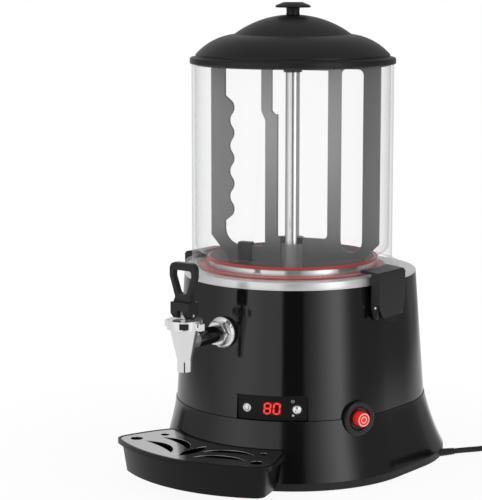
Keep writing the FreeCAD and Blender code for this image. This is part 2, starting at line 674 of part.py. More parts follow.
# ---------------------------------------------------------------------------------------------
# Stirring paddle and its drive
# ---------------------------------------------------------------------------------------------
node("drive_shaft", place(cylinder("shaft_radius", f"shaft_top - {SHAFT_BOTTOM}"),
                          z=SHAFT_BOTTOM))
COUPLING_BOTTOM = "(bracket_top + boss_height + bearing_length / 2)"
node("shaft_coupling", place(turned("Coupling", [
    ("shaft_radius", COUPLING_BOTTOM), ("coupling_radius", COUPLING_BOTTOM),
    ("coupling_radius", f"{COUPLING_BOTTOM} + coupling_length"),
    ("shaft_radius", f"{COUPLING_BOTTOM} + coupling_length"),
])))

BAR_BOTTOM = "(paddle_top - paddle_bar)"
paddle_plate = new_body("PaddlePlate")
paddle_sketch = sketch_on(paddle_plate, "XZ_Plane", "-paddle_thickness / 2")
outline(paddle_sketch, [
    ("paddle_reach", "paddle_top"), ("paddle_reach", "paddle_corner"),
    ("paddle_reach - paddle_chamfer", "paddle_corner - paddle_chamfer"),
    ("paddle_reach - paddle_chamfer", "paddle_bottom"),
    ("near_chamfer - near_reach", "paddle_bottom"),
    ("near_chamfer - near_reach", "paddle_corner - near_drop"),
    ("-near_reach", "paddle_corner"), ("-near_reach", "paddle_top"),
])
feature(paddle_plate, "Pad", paddle_sketch, Length="paddle_thickness")
doc.recompute()

# Crests and roots of the blade are one arc, turned over in turn about the wave's middle line.
WAVE_RADIUS = "(((wave_pitch / 4) ^ 2 + (wave_height / 2) ^ 2) / wave_height)"
CRESTS = 5
HALF_WAVES = 2 * CRESTS - 1
WAVE_END = f"(wave_top - {HALF_WAVES} * wave_pitch / 2)"
waves = [
    ("-wave_middle", f"wave_top - {index} * wave_pitch / 2", WAVE_RADIUS,
     "left" if index % 2 else "right")
    for index in range(1, HALF_WAVES + 1)
]
left_window = [
    ("-rib_left", BAR_BOTTOM), ("-blade_inner", BAR_BOTTOM),
    ("-blade_inner", "wave_top + blade_step"), ("-wave_middle", "wave_top"), *waves,
    ("-blade_inner", f"{WAVE_END} - blade_step"),
    ("-blade_inner", "left_slot_bottom + blade_corner"),
    ("blade_corner - blade_inner", "left_slot_bottom", "blade_corner", "right"),
    ("-rib_left_low - paddle_bar", "left_slot_bottom"),
    ("-rib_left_low", "left_slot_bottom + paddle_bar", "paddle_bar", "right"),
    ("-rib_left_low", "rib_step - 2 * rib_ease"), ("-rib_left", "rib_step + rib_ease"),
]
NOTCH = "(bush_radius + running_gap)"
centre_window = [
    ("rib_far", BAR_BOTTOM), ("-rib_right", BAR_BOTTOM), ("-rib_right", "rib_step + rib_ease"),
    ("rib_ease - rib_right", "rib_step"), ("-rib_right_low", "rib_step"),
    ("-rib_right_low", "centre_bottom"),
    (f"-{NOTCH}", "centre_bottom"), (f"-{NOTCH}", "paddle_bottom - paddle_bar"),
    (NOTCH, "paddle_bottom - paddle_bar"), (NOTCH, "centre_bottom"),
    ("rib_far - paddle_bar", "centre_bottom"),
    ("rib_far", "centre_bottom + paddle_bar", "paddle_bar", "right"),
]
SLOT_RADIUS = "((slot_far - slot_near) / 2)"
SLOT_MIDDLE = "((slot_far + slot_near) / 2)"
SLOT_TOP = f"({BAR_BOTTOM} + slot_rise)"
right_window = [
    ("slot_far", f"slot_bottom + {SLOT_RADIUS}", SLOT_RADIUS, "right"),
    ("slot_far", f"{SLOT_TOP} - slot_corner"),
    ("slot_far - slot_corner", SLOT_TOP, "slot_corner", "right"),
    ("slot_near + slot_corner", SLOT_TOP),
    ("slot_near", f"{SLOT_TOP} - slot_corner", "slot_corner", "right"),
    ("slot_near", f"slot_bottom + {SLOT_RADIUS}"),
    (SLOT_MIDDLE, "slot_bottom", SLOT_RADIUS, "right"),
]
window_sketch = sketch_on(paddle_plate, "XZ_Plane", "paddle_thickness / 2")
for corners in (left_window, centre_window, right_window):
    outline(window_sketch, corners)
feature(paddle_plate, "Pocket", window_sketch, Length="paddle_thickness")
turn(paddle_plate, "paddle_angle")
paddle_boss = place(cylinder("paddle_boss", "paddle_bar"), z=BAR_BOTTOM)
paddle_bore = place(cylinder("shaft_radius", f"shaft_top - {BAR_BOTTOM}"), z=BAR_BOTTOM)
node("paddle", cut(fuse(paddle_plate, paddle_boss), paddle_bore))

HUB_BOTTOM = "(column_top + hub_gap)"
hub_cap = place(cylinder("hub_radius", f"hub_top - {HUB_BOTTOM}"), z=HUB_BOTTOM)
hub_cavity = place(cylinder("paddle_boss", "paddle_top - column_top"), z="column_top")
hub_slot = turn(slab("HubSlot", "XZ_Plane", [
    ("2 * hub_radius", "paddle_top"), ("2 * hub_radius", "column_top"),
    ("-2 * hub_radius", "column_top"), ("-2 * hub_radius", "paddle_top"),
], "paddle_thickness", "-paddle_thickness / 2"), "paddle_angle")
node("paddle_hub", cut(hub_cap, hub_cavity, hub_slot))

bush_ring = place(turned("Bush", [
    ("column_radius + 4 * running_gap", "bush_bottom"), ("bush_radius", "bush_bottom"),
    ("bush_radius", "bush_bottom + bush_height"),
    ("column_radius + 4 * running_gap", "bush_bottom + bush_height"),
]))
bush_mouth = turn(slab("BushMouth", "XZ_Plane", [
    ("-bush_radius", "bush_bottom"), ("bush_radius", "bush_bottom"),
    ("bush_radius", "bush_bottom + bush_height"), ("-bush_radius", "bush_bottom + bush_height"),
], "bush_radius", "bush_open"), "paddle_angle")
node("paddle_bush", cut(bush_ring, bush_mouth))

WIPER_TOP = "(wiper_bottom + wiper_height)"
WIPER_LOW = "(-wiper_middle - wiper_width / 2)"
WIPER_HIGH = "(-wiper_middle + wiper_width / 2)"
wiper_block = turn(slab("WiperBlock", "XZ_Plane", [
    (WIPER_LOW, "wiper_bottom"), (WIPER_HIGH, "wiper_bottom"), (WIPER_HIGH, WIPER_TOP),
    (WIPER_LOW, WIPER_TOP),
], "wiper_depth", "-wiper_depth / 2"), "paddle_angle")
wiper_slot = turn(slab("WiperSlot", "XZ_Plane", [
    (f"2 * {WIPER_LOW}", "wiper_bottom"), ("0", "wiper_bottom"), ("0", "left_slot_bottom"),
    (f"2 * {WIPER_LOW}", "left_slot_bottom"),
], "paddle_thickness", "-paddle_thickness / 2"), "paddle_angle")
node("paddle_wiper", cut(wiper_block, wiper_slot))

# ---------------------------------------------------------------------------------------------
# Lid with its knob
# ---------------------------------------------------------------------------------------------
RIM_TOP = f"({LID_BOTTOM} + lid_rim_height)"
node("lid", place(turned("Lid", [
    ("lid_plug - lid_wall", f"{LID_BOTTOM} - lid_plug_drop"),
    ("lid_plug", f"{LID_BOTTOM} - lid_plug_drop"), ("lid_plug", LID_BOTTOM),
    ("lid_radius", LID_BOTTOM), ("lid_radius", RIM_TOP),
    ("lid_shoulder", LID_SHOULDER),
    ("lid_neck", LID_NECK, "lid_dome_radius", "right"),
    ("lid_land", LID_LAND, "lid_crown_radius", "right"),
    ("knob_bore", LID_LAND), ("knob_bore", f"{LID_LAND} - lid_wall"),
    ("lid_land", f"{LID_LAND} - lid_wall"),
    ("lid_neck - lid_wall", f"{LID_NECK} - lid_wall", "lid_crown_radius - lid_wall", "left"),
    ("lid_shoulder - lid_wall", f"{LID_SHOULDER} - lid_wall", "lid_dome_radius - lid_wall",
     "left"),
    ("lid_plug - lid_wall", f"{LID_BOTTOM} + lid_wall"),
])))

KNOB_UNDER = f"({LID_LAND} + knob_stem_height)"
KNOB_TOP = f"({LID_LAND} + knob_height)"
node("lid_knob", place(turned("Knob", [
    ("knob_bore", LID_LAND), ("knob_stem", LID_LAND),
    ("knob_stem", KNOB_UNDER), ("knob_radius", KNOB_UNDER),
    ("knob_radius", f"{KNOB_UNDER} + knob_edge"), ("knob_flat", KNOB_TOP), ("0", KNOB_TOP),
    ("0", f"{KNOB_UNDER} + knob_edge"), ("knob_bore", f"{KNOB_UNDER} + knob_edge"),
])))
node("knob_screw", fuse(
    place(cylinder("knob_washer", "screw_head_height"),
          z=f"{LID_LAND} - lid_wall - screw_head_height"),
    place(cylinder("knob_bore", "knob_screw_length"), z=f"{LID_LAND} - lid_wall"),
))

# ---------------------------------------------------------------------------------------------
# Tap
# ---------------------------------------------------------------------------------------------
TAP_Y = "-tap_reach"

tap_turning = place(turned("TapTurning", [
    ("spout_bore", "spout_bottom"), ("spout_radius", "spout_bottom"),
    ("spout_radius", "spout_bottom + spout_height"), ("cone_radius", "cone_top"),
    ("cone_radius", NECK_TOP), ("chamber_radius", NECK_TOP),
    ("chamber_radius", "cone_top - tap_neck"), ("cup_radius + hole_gap", "valve_seat"),
    ("spout_bore", "valve_seat"),
]), y=TAP_Y)
tap_boss = aim(cylinder("shank_radius", "tap_boss_reach - chamber_radius + 2 * vessel_wall"), 0,
               "tap_reach - tap_boss_reach", "shank_height")
tap_chamber = place(cylinder("cup_radius + hole_gap", "cone_top - valve_seat"), y=TAP_Y,
                    z="valve_seat")
tap_inlet = aim(cylinder("shank_bore", "tap_boss_reach"), 0, "tap_reach - tap_boss_reach",
                "shank_height")
tap_socket = aim(cylinder("shank_spigot", "spigot_length"), 0, "tap_reach - tap_boss_reach",
                 "shank_height")
slit = face_block("tap_turn", "spout_radius", "slit_width", "spout_radius", "slit_height",
                  "spout_bottom", TAP_Y)
node("tap_body", cut(fuse(tap_turning, tap_boss), tap_chamber, tap_inlet, tap_socket, slit))

collar_turning = place(turned("CollarTurning", [
    ("cone_radius + collar_gap", COLLAR_BOTTOM), ("collar_radius", COLLAR_BOTTOM),
    ("collar_radius", COLLAR_TOP), ("collar_bore", COLLAR_TOP), ("collar_bore", NECK_TOP),
    ("cone_radius + collar_gap", NECK_TOP),
]), y=TAP_Y)
LUG_LENGTH = "(collar_lug - collar_radius + lug_bite)"
collar_lugs = [
    block(f"{side} * (collar_lug + collar_radius - lug_bite) / 2 - {LUG_LENGTH} / 2",
          f"{TAP_Y} - collar_lug_width / 2", COLLAR_BOTTOM, LUG_LENGTH, "collar_lug_width",
          "collar_lug_height") for side in (-1, 1)
]


def insert_block():
    return face_block("tap_turn", "collar_radius + insert_proud", "insert_width",
                      "insert_depth + insert_proud", "insert_height",
                      f"(cone_top + {COLLAR_TOP} - insert_height) / 2", TAP_Y)


node("tap_collar", cut(fuse(collar_turning, *collar_lugs), insert_block()))
node("tap_insert", insert_block())

node("tap_seat_cup", place(turned("SeatCup", [
    ("stem_radius", "valve_seat"), ("cup_radius", "valve_seat"), ("cup_radius", CUP_TOP),
    ("stem_radius", CUP_TOP),
]), y=TAP_Y))
stem_rod = place(cylinder("stem_radius", f"{PIN_HEIGHT} - valve_seat"), y=TAP_Y,
                 z="valve_seat")
stem_eye = block("-stem_eye / 2", f"{TAP_Y} - stem_radius", f"{COLLAR_TOP} + fork_gap",
                 "stem_eye", "2 * stem_radius", "pin_rise + stem_rise - fork_gap")


def cross_bore(radius, length):
    """A cylinder along X, centred on the handle's pin."""
    item = cylinder(radius, length)
    item.Placement = FreeCAD.Placement(
        FreeCAD.Vector(), FreeCAD.Rotation(FreeCAD.Vector(0, 1, 0), 90)
    )
    return place(item, f"-({length}) / 2", TAP_Y, PIN_HEIGHT)


node("tap_stem", cut(fuse(stem_rod, stem_eye), cross_bore("pin_radius", "boss_width")))
node("handle_pin", cross_bore("pin_radius", "boss_width"))

SPRING_BOTTOM = f"({CUP_TOP} + spring_wire + spring_gap)"
SPRING_RISE = f"({NECK_TOP} - {CUP_TOP} - 2 * spring_wire - 2 * spring_gap)"
POINTS_A_TURN = 16


def helix_line(radius, rise, turns):
    """A spline through points of a helix, which meshes closer than an exact helix does."""
    steps = int(round(turns * POINTS_A_TURN))
    angles = [math.tau * step / POINTS_A_TURN for step in range(steps + 1)]
    line = Part.BSplineCurve()
    line.interpolate([
        FreeCAD.Vector(radius * math.cos(angle), radius * math.sin(angle), rise * step / steps)
        for step, angle in enumerate(angles)
    ])
    return line


def wire_spring(radius, wire, rise, turns):
    """A round wire wound into a helix about its own Z axis."""
    line = helix_line(radius, rise, turns)
    begin = line.FirstParameter
    section = Part.makeCircle(wire, line.value(begin), line.tangent(begin)[0])
    item = doc.addObject("Part::Feature", "Spring")
    item.Shape = Part.Wire([line.toShape()]).makePipeShell([Part.Wire([section])], True, False)
    return item


spring = wire_spring(number("spring_radius"), number("spring_wire"), number(SPRING_RISE),
                     number("spring_turns"))
node("tap_spring", place(spring, y=TAP_Y, z=SPRING_BOTTOM))

# The handle is drawn from the front: a hand loop on a neck, above a forked boss.
BOSS_BOTTOM = f"({PIN_HEIGHT} - boss_drop)"
BOSS_TOP = f"({PIN_HEIGHT} + boss_rise)"
HANDLE_NECK = f"({BOSS_TOP} + handle_neck_rise)"
HANDLE_SHOULDER = f"({HANDLE_NECK} + handle_shoulder_rise)"
HANDLE_TOP = f"({HANDLE_SHOULDER} + handle_top_rise)"
handle_half = [
    ("handle_width / 2 - handle_corner", HANDLE_TOP),
    ("handle_width / 2", f"{HANDLE_TOP} - handle_corner", "handle_corner", "left"),
    ("handle_width / 2", HANDLE_SHOULDER), ("handle_neck / 2", HANDLE_NECK),
    ("boss_width / 2", f"{BOSS_TOP} - boss_step"),
    ("boss_width / 2", f"{BOSS_TOP} - 2 * boss_step"),
]
handle_plate = new_body("HandlePlate")
handle_sketch = sketch_on(handle_plate, "XZ_Plane", "-handle_thickness / 2")
handle_left = [
    ("-boss_width / 2", f"{BOSS_TOP} - 2 * boss_step"),
    ("-boss_width / 2", f"{BOSS_TOP} - boss_step"),
    ("-handle_neck / 2", HANDLE_NECK), ("-handle_width / 2", HANDLE_SHOULDER),
    ("-handle_width / 2", f"{HANDLE_TOP} - handle_corner"),
    ("-(handle_width / 2 - handle_corner)", HANDLE_TOP, "handle_corner", "left"),
]
outline(handle_sketch, handle_half + handle_left)
feature(handle_plate, "Pad", handle_sketch, Length="handle_thickness")
doc.recompute()
HOLE_TOP = f"({HANDLE_TOP} - handle_bar)"
HOLE_BOTTOM = f"({HANDLE_NECK} + handle_hole_rise)"
hole_sketch = sketch_on(handle_plate, "XZ_Plane", "handle_thickness / 2")
HOLE_FOOT_TOP = f"({HOLE_BOTTOM} + hole_foot / 2)"
HOLE_FOOT_RADIUS = "((hole_foot ^ 2 + (hole_foot / 2) ^ 2) / hole_foot)"
outline(hole_sketch, [
    ("handle_hole / 2", f"{HOLE_TOP} - hole_corner", "hole_corner", "left"),
    ("handle_hole / 2", HANDLE_SHOULDER), ("hole_foot", HOLE_FOOT_TOP),
    ("-hole_foot", HOLE_FOOT_TOP, HOLE_FOOT_RADIUS, "left"),
    ("-handle_hole / 2", HANDLE_SHOULDER), ("-handle_hole / 2", f"{HOLE_TOP} - hole_corner"),
    ("hole_corner - handle_hole / 2", HOLE_TOP, "hole_corner", "left"),
    ("handle_hole / 2 - hole_corner", HOLE_TOP),
])
feature(handle_plate, "Pocket", hole_sketch, Length="handle_thickness")
place(handle_plate, y=TAP_Y)
BOSS_FLARE_TOP = f"({BOSS_BOTTOM} + boss_flare)"
handle_boss = place(slab("HandleBoss", "YZ_Plane", [
    ("-boss_foot / 2", BOSS_BOTTOM), ("boss_foot / 2", BOSS_BOTTOM),
    ("boss_depth / 2", BOSS_FLARE_TOP), ("boss_depth / 2", BOSS_TOP),
    ("-boss_depth / 2", BOSS_TOP), ("-boss_depth / 2", BOSS_FLARE_TOP),
], "boss_width", "-boss_width / 2"), y=TAP_Y)
handle_solid = fuse(handle_plate, handle_boss)
fork = block("-stem_eye / 2 - fork_gap", f"{TAP_Y} - boss_width / 2", BOSS_BOTTOM,
             "stem_eye + 2 * fork_gap", "boss_width", "boss_drop + fork_height")
node("tap_handle", cut(handle_solid, fork,
                       cross_bore("pin_radius + running_gap", "boss_width")))

# ---------------------------------------------------------------------------------------------
# Shank and what clamps it in the housing
# ---------------------------------------------------------------------------------------------
SHANK_FRONT = "(tap_reach - tap_boss_reach)"
SHANK_END = "(pot_radius - shank_proud)"
node("tap_shank", aim(turned("Shank", [
    ("shank_bore", "0"), ("shank_radius", "0"), ("shank_radius", f"{SHANK_FRONT} - {SHANK_END}"),
    ("shank_spigot", f"{SHANK_FRONT} - {SHANK_END}"),
    ("shank_spigot", f"{SHANK_FRONT} - {SHANK_END} + spigot_length"),
    ("shank_bore", f"{SHANK_FRONT} - {SHANK_END} + spigot_length"),
]), 0, SHANK_END, "shank_height"))


def washer(outer, inner, thickness, reach):
    """A ring on the shank's axis, from the reach outwards."""
    ring = aim(cylinder(outer, thickness), 0, reach, "shank_height")
    return cut(ring, aim(cylinder(inner, thickness), 0, reach, "shank_height"))


def hexagon(thickness, reach):
    """A hexagon nut on the shank's axis, two of its corners up and down."""
    body = new_body("Nut")
    corner = "nut_width / 2 / cos(30)"
    outline(sketch_on(body), [
        (f"{corner} * cos({angle})", f"{corner} * sin({angle})") for angle in range(30, 390, 60)
    ])
    feature(body, "Pad", body.Group[-1], Length=thickness)
    doc.recompute()
    bore = circle(sketch_on(body, offset=thickness), "shank_radius")
    feature(body, "Pocket", bore, Length=thickness)
    return aim(body, 0, reach, "shank_height")


GASKET_FRONT = f"({HOUSING_AT_SHANK} + gasket_thickness)"
node("shank_gasket", cut(washer("gasket_radius", "shank_radius", "4 * gasket_thickness",
                                f"{GASKET_FRONT} - 4 * gasket_thickness"),
                         housing_form("GasketSeat", UPPER, hollow=False)))
node("shank_flange", washer("flange_radius", "shank_radius", "flange_thickness", GASKET_FRONT))
node("shank_nut", hexagon("nut_length", f"{GASKET_FRONT} + flange_thickness"))
node("shank_lock_nut", hexagon("lock_nut_length", "bath_radius + vessel_wall"))

# ---------------------------------------------------------------------------------------------
# Latches that clamp the bowl's flange
# ---------------------------------------------------------------------------------------------
ARM_UNDER = "(latch_top - latch_arm)"


def latch(side, name):
    """A lever with an arm over the bowl's flange, a tongue with a finger lip and two cheeks."""
    plate = [
        ("bowl_radius - bowl_wall", "latch_top + latch_rise"),
        ("latch_face - latch_edge", "latch_top"), ("latch_face", "latch_top - latch_edge"),
        ("latch_face", "latch_bottom + latch_lip_height"), ("latch_lip", "latch_bottom"),
        ("latch_lip - latch_plate / 2", "latch_bottom"),
        ("latch_face - latch_plate", "latch_bottom + latch_lip_height"),
        ("latch_face - latch_plate", f"{ARM_UNDER} - latch_edge"),
        ("latch_inner", ARM_UNDER), ("bowl_radius - bowl_wall", ARM_UNDER),
    ]
    cheek = [
        ("latch_inner", ARM_UNDER), ("latch_face - latch_plate", ARM_UNDER),
        ("latch_face - latch_plate", "cheek_bottom + latch_edge"),
        ("latch_face - latch_plate - latch_edge / 2", "cheek_bottom"),
        ("latch_tab", "cheek_bottom"), ("latch_inner", "pivot_height + latch_gap"),
    ]
    tongue = [
        ("-latch_half_width", "latch_bottom + latch_half_width"),
        ("0", "latch_bottom", "latch_half_width", "right"),
        ("latch_half_width", "latch_bottom + latch_half_width", "latch_half_width", "right"),
        ("latch_half_width", "latch_top + latch_rise"),
        ("-latch_half_width", "latch_top + latch_rise"),
    ]

    def sided(corners):
        return [(f"{side} * ({x})", z) for x, z in corners]

    bent = slab(name + "Plate", "XZ_Plane", sided(plate), "2 * latch_half_width",
                "-latch_half_width")
    front = slab(name + "Tongue", "YZ_Plane", tongue, "2 * latch_lip", "-latch_lip")
    cheeks = [
        place(slab(name + "Cheek", "XZ_Plane", sided(cheek), "latch_cheek", offset))
        for offset in ("-latch_half_width", "latch_half_width - latch_cheek")
    ]
    clearance = place(cylinder("bowl_radius + latch_gap", "latch_top"), z="latch_bottom")
    bore = along_y("pivot_radius + running_gap", "latch_half_width", side)
    return cut(fuse(common(place(bent), place(front)), *cheeks), clearance, bore)


def along_y(radius, half_width, side):
    """A cylinder along Y on the latch's pivot."""
    item = cylinder(radius, f"2 * ({half_width})")
    item.Placement = FreeCAD.Placement(
        FreeCAD.Vector(), FreeCAD.Rotation(FreeCAD.Vector(1, 0, 0), -90)
    )
    return place(item, f"{side} * pivot_reach", f"-({half_width})", "pivot_height")


def latch_block(side):
    """The block on the housing that carries the latch's pivot pin, curved to the wall behind."""
    root = "(top_radius - 2 * barrel_radius)"
    x = root if side > 0 else "-pivot_reach"
    web = block(x, "-bracket_half_width", "pivot_height - barrel_radius",
                f"pivot_reach - {root}", "2 * bracket_half_width", "2 * barrel_radius")
    barrel = along_y("barrel_radius", "bracket_half_width", side)
    seat = housing_form("BlockSeat", UPPER, hollow=False)
    bore = along_y("pivot_radius", "latch_half_width", side)
    return cut(fuse(web, barrel), seat, bore)


SIDES = (("left", -1), ("right", 1))
for word, side in SIDES:
    node("latch_" + word, latch(side, "Latch" + word))
node("latch_brackets", group(*[latch_block(side) for _, side in SIDES]))
node("latch_pins", group(*[
    along_y("pivot_radius", "latch_half_width", side) for _, side in SIDES
]))

# ---------------------------------------------------------------------------------------------
# Control panel behind its window
# ---------------------------------------------------------------------------------------------
PANEL_TOP = "(seam_height + panel_height)"


def sector(outer, inner, start, end, bottom, height):
    """A curved plate about the bowl's axis, between two angles from the front."""
    plates = [bind(cylinder(radius, height), Angle=f"({end}) - ({start})")
              for radius in (outer, inner)]
    for plate in plates:
        turn(plate, f"({start}) - 90", z=bottom)
    return cut(*plates)


panel_face = sector("panel_radius", "panel_flange - panel_skin", "panel_start + panel_gap",
                    "panel_end - panel_gap", "seam_height + panel_gap",
                    "panel_height - 2 * panel_gap")
panel_back = sector("panel_flange", "panel_flange - panel_skin", "panel_start - panel_overlap",
                    "panel_end + panel_overlap", "seam_height + panel_gap",
                    "panel_height + panel_overlap")
BUTTON_ANGLES = {"left": "button_low_angle", "right": "button_high_angle"}
button_holes = [
    aim(cylinder("button_radius + button_gap", "base_radius - board_reach"), angle,
        "board_reach", "button_height") for angle in BUTTON_ANGLES.values()
]


def display_block():
    return face_block("display_angle", "display_reach", "display_width", "display_depth",
                      "display_height", "display_bottom")


node("control_panel", cut(fuse(panel_face, panel_back), display_block(), *button_holes))
node("led_display", display_block())

BUTTON_FRONT = "(panel_radius + button_proud)"
for word, angle in BUTTON_ANGLES.items():
    node("panel_button_" + word, aim(cylinder("button_radius", "button_length"), angle,
                                     f"{BUTTON_FRONT} - button_length", "button_height"))

board = face_block("display_angle", "board_reach", "board_width", "board_thickness",
                   "board_height", "button_height - board_height / 2")
TACT_REACH = f"({BUTTON_FRONT} - button_length - button_travel)"
tacts = [
    aim(cylinder("tact_size / 2", f"{TACT_REACH} - board_reach + board_thickness"), angle,
        "board_reach - board_thickness", "button_height") for angle in BUTTON_ANGLES.values()
]
display_stand = face_block("display_angle", "display_reach - display_depth",
                           "display_width - 2 * display_inset",
                           "display_reach - display_depth - board_reach",
                           "display_height - 2 * display_inset",
                           "display_bottom + display_inset")
node("panel_board", fuse(board, *tacts, display_stand))

# ---------------------------------------------------------------------------------------------
# Power switch on the seam
# ---------------------------------------------------------------------------------------------
BEZEL_LENGTH = "(bezel_front - switch_body_front + bezel_dish)"
bezel_turning = aim(turned("BezelTurning", [
    ("power_radius + power_gap", "0"), ("bezel_radius", "0"),
    ("bezel_radius", f"{BEZEL_LENGTH} - bezel_dish / 2"),
    ("bezel_radius - bezel_dish", BEZEL_LENGTH),
    ("bezel_dish_radius + bezel_dish", BEZEL_LENGTH),
    ("bezel_dish_radius", f"{BEZEL_LENGTH} - bezel_dish"),
    ("power_radius + power_gap", f"{BEZEL_LENGTH} - bezel_dish"),
]), "switch_angle", f"bezel_front - {BEZEL_LENGTH}", "switch_height")
node("power_switch_bezel", cut(bezel_turning, upper_form, lower_form))

BODY_BACK = "(switch_body_front - switch_body_length)"
BUTTON_BACK = "(power_front - power_length)"
node("power_switch_body", aim(turned("SwitchBody", [
    ("0", "0"), ("switch_body_radius", "0"), ("switch_body_radius", "switch_body_length"),
    ("power_radius + power_gap", "switch_body_length"),
    ("power_radius + power_gap", f"{BUTTON_BACK} - {BODY_BACK} - power_travel - power_gap"),
    ("0", f"{BUTTON_BACK} - {BODY_BACK} - power_travel - power_gap"),
]), "switch_angle", BODY_BACK, "switch_height"))
node("power_button", aim(turned("PowerButton", [
    ("0", "0"), ("power_radius", "0"), ("power_radius", "power_length - power_gap"),
    ("power_radius - power_gap", "power_length"), ("0", "power_length"),
]), "switch_angle", BUTTON_BACK, "switch_height"))

# ---------------------------------------------------------------------------------------------
# Drip tray and grid
# ---------------------------------------------------------------------------------------------
def tray_form(bottom, top, inset_low, inset_high):
    """The tray's plan set in from its lip: a bowed front and sides, hollow at the back."""
    height = f"({top}) - ({bottom})"
    front = place(cone(f"tray_front_radius - ({inset_low})", f"tray_front_radius - ({inset_high})",
                       height), 0, "tray_front_radius - tray_reach", bottom)
    sides = [
        place(cone(f"tray_side_radius - ({inset_low})", f"tray_side_radius - ({inset_high})",
                   height), f"{side} * tray_side_x", "-tray_side_y", bottom)
        for side in (-1, 1)
    ]
    back = place(cone(f"{TRAY_BACK} + ({inset_low})", f"{TRAY_BACK} + ({inset_high})", height),
                 z=bottom)
    return cut(common(front, *sides), back)


TALL_SHARE = 0.9    # of the height of the thinnest form: an upright edge is taller than this
FLAT_SHARE = 3    # an edge that runs farther sideways than this many times its rise is no corner


def upright_corner(front):
    """A test for the tray's upright edges: the front pair or the rear pair."""
    limit = number(f"{AXIS_Y} - ({TRAY_BACK} + tray_reach) / 2")

    def chosen(edge):
        low, high = edge.BoundBox.ZMin, edge.BoundBox.ZMax
        tall = high - low > TALL_SHARE * (number("grid_thickness") - number("grid_gap"))
        flat = edge.BoundBox.XLength + edge.BoundBox.YLength > FLAT_SHARE * (high - low)
        is_front = edge.BoundBox.Center.y < limit
        return tall and not flat and is_front == front
    return chosen


def soft_tray_form(bottom, top, inset_low, inset_high):
    """The tray's plan with its four upright corners rounded to follow the inset."""
    plain = tray_form(bottom, top, inset_low, inset_high)
    front = rounded(plain, f"tray_corner - ({inset_high}) / 2", upright_corner(True))
    return rounded(front, "tray_rear_corner", upright_corner(False))


TRAY_INSIDE = "(tray_lip + tray_wall)"
HOOK_ROOT = f"({TRAY_BACK} + tray_lip + tray_draft + hook_gap)"
tray_shell = soft_tray_form("tray_bottom", LIP_BOTTOM, "tray_lip + tray_draft", "tray_lip")
tray_rim = soft_tray_form(LIP_BOTTOM, "tray_top", "0", "0")
tray_cavity = soft_tray_form("tray_bottom + tray_floor", GRID_SEAT,
                             f"{TRAY_INSIDE} + tray_draft", TRAY_INSIDE)
grid_recess = soft_tray_form(GRID_SEAT, "tray_top", "grid_rim", "grid_rim")
hooks = [
    block(f"{side} * hook_x - hook_width / 2", f"-({HOOK_ROOT})", "hook_bottom", "hook_width",
          f"{HOOK_ROOT} - {HOOK_END}", "hook_height") for side in (-1, 1)
]
node("drip_tray", cut(fuse(tray_shell, tray_rim, *hooks), tray_cavity, grid_recess))

GRID_TOP = f"({GRID_SEAT} + grid_thickness)"


def grid_hole(radius, x, y):
    return place(cylinder(radius, "2 * grid_thickness"), x, y, f"{GRID_SEAT} - grid_thickness / 2")


def crescent(side, x, y):
    """A moon-shaped slot bowed towards the rear; its chord's middle is at (x, -y)."""
    lean = "crescent_turn"
    discs = []
    for radius, rise in (("crescent_outer", "crescent_rise"), ("crescent_inner", "crescent_sag")):
        back = f"({rise} - {radius})"
        discs.append(grid_hole(radius, f"{side} * ({x} - {back} * sin({lean}))",
                               f"-({y}) + {back} * cos({lean})"))
    return cut(*discs)


LENS_RADIUS = "((lens_length / 2) ^ 2 + (lens_width / 2) ^ 2) / lens_width"
lens = common(*[
    grid_hole(LENS_RADIUS, f"{side} * ({LENS_RADIUS} - lens_width / 2)", "-lens_middle")
    for side in (-1, 1)
])
grid_cuts = [lens]
for _, side in SIDES:
    grid_cuts.append(grid_hole("hole_front_radius", f"{side} * hole_front_x", "-hole_front_y"))
    grid_cuts.append(grid_hole("hole_rear_radius", f"{side} * hole_rear_x", "-hole_rear_y"))
    grid_cuts.append(crescent(side, "crescent_x", "crescent_front_y"))
    grid_cuts.append(crescent(side, "crescent_rear_x", "crescent_rear_y"))
grid_plate = soft_tray_form(GRID_SEAT, GRID_TOP, "grid_rim + grid_gap", "grid_rim + grid_gap")
node("drip_grid", cut(grid_plate, *grid_cuts))

# ---------------------------------------------------------------------------------------------
# Mains lead: gland, free run, put-away coil and plug
# ---------------------------------------------------------------------------------------------
gland_collar = gland_axis(cylinder("gland_radius", "gland_inner + gland_collar"), "-gland_inner")
gland_cone = gland_axis(cone("gland_radius", "gland_tip", "gland_length - gland_collar"),
                        "gland_collar")
node("cord_gland", fuse(gland_collar, gland_cone))


def at(x, y, z):
    return FreeCAD.Vector(number(x), number(AXIS_Y) + number(y), number(z))


# The route's points, from the bowl's axis: out of the gland, down to the table, then across it
# to where the run lies alongside the coil's outer turn.
ROUTE = [
    (f"{GLAND_X} + gland_length * cos(gland_turn)", f"{GLAND_Y} + gland_length * sin(gland_turn)",
     "gland_height"),
] + [
    (f"{GLAND_X} + {ahead}", f"{GLAND_Y} + {aside}", z) for ahead, aside, z in (
        (23.8, 38.2, "gland_height"), (33.1, 57.9, "cord_rest"), (43.1, 82.5, "cord_rest"),
        (55.6, 106.2, "cord_rest"), (70.6, 127.2, "cord_rest"),
    )
]


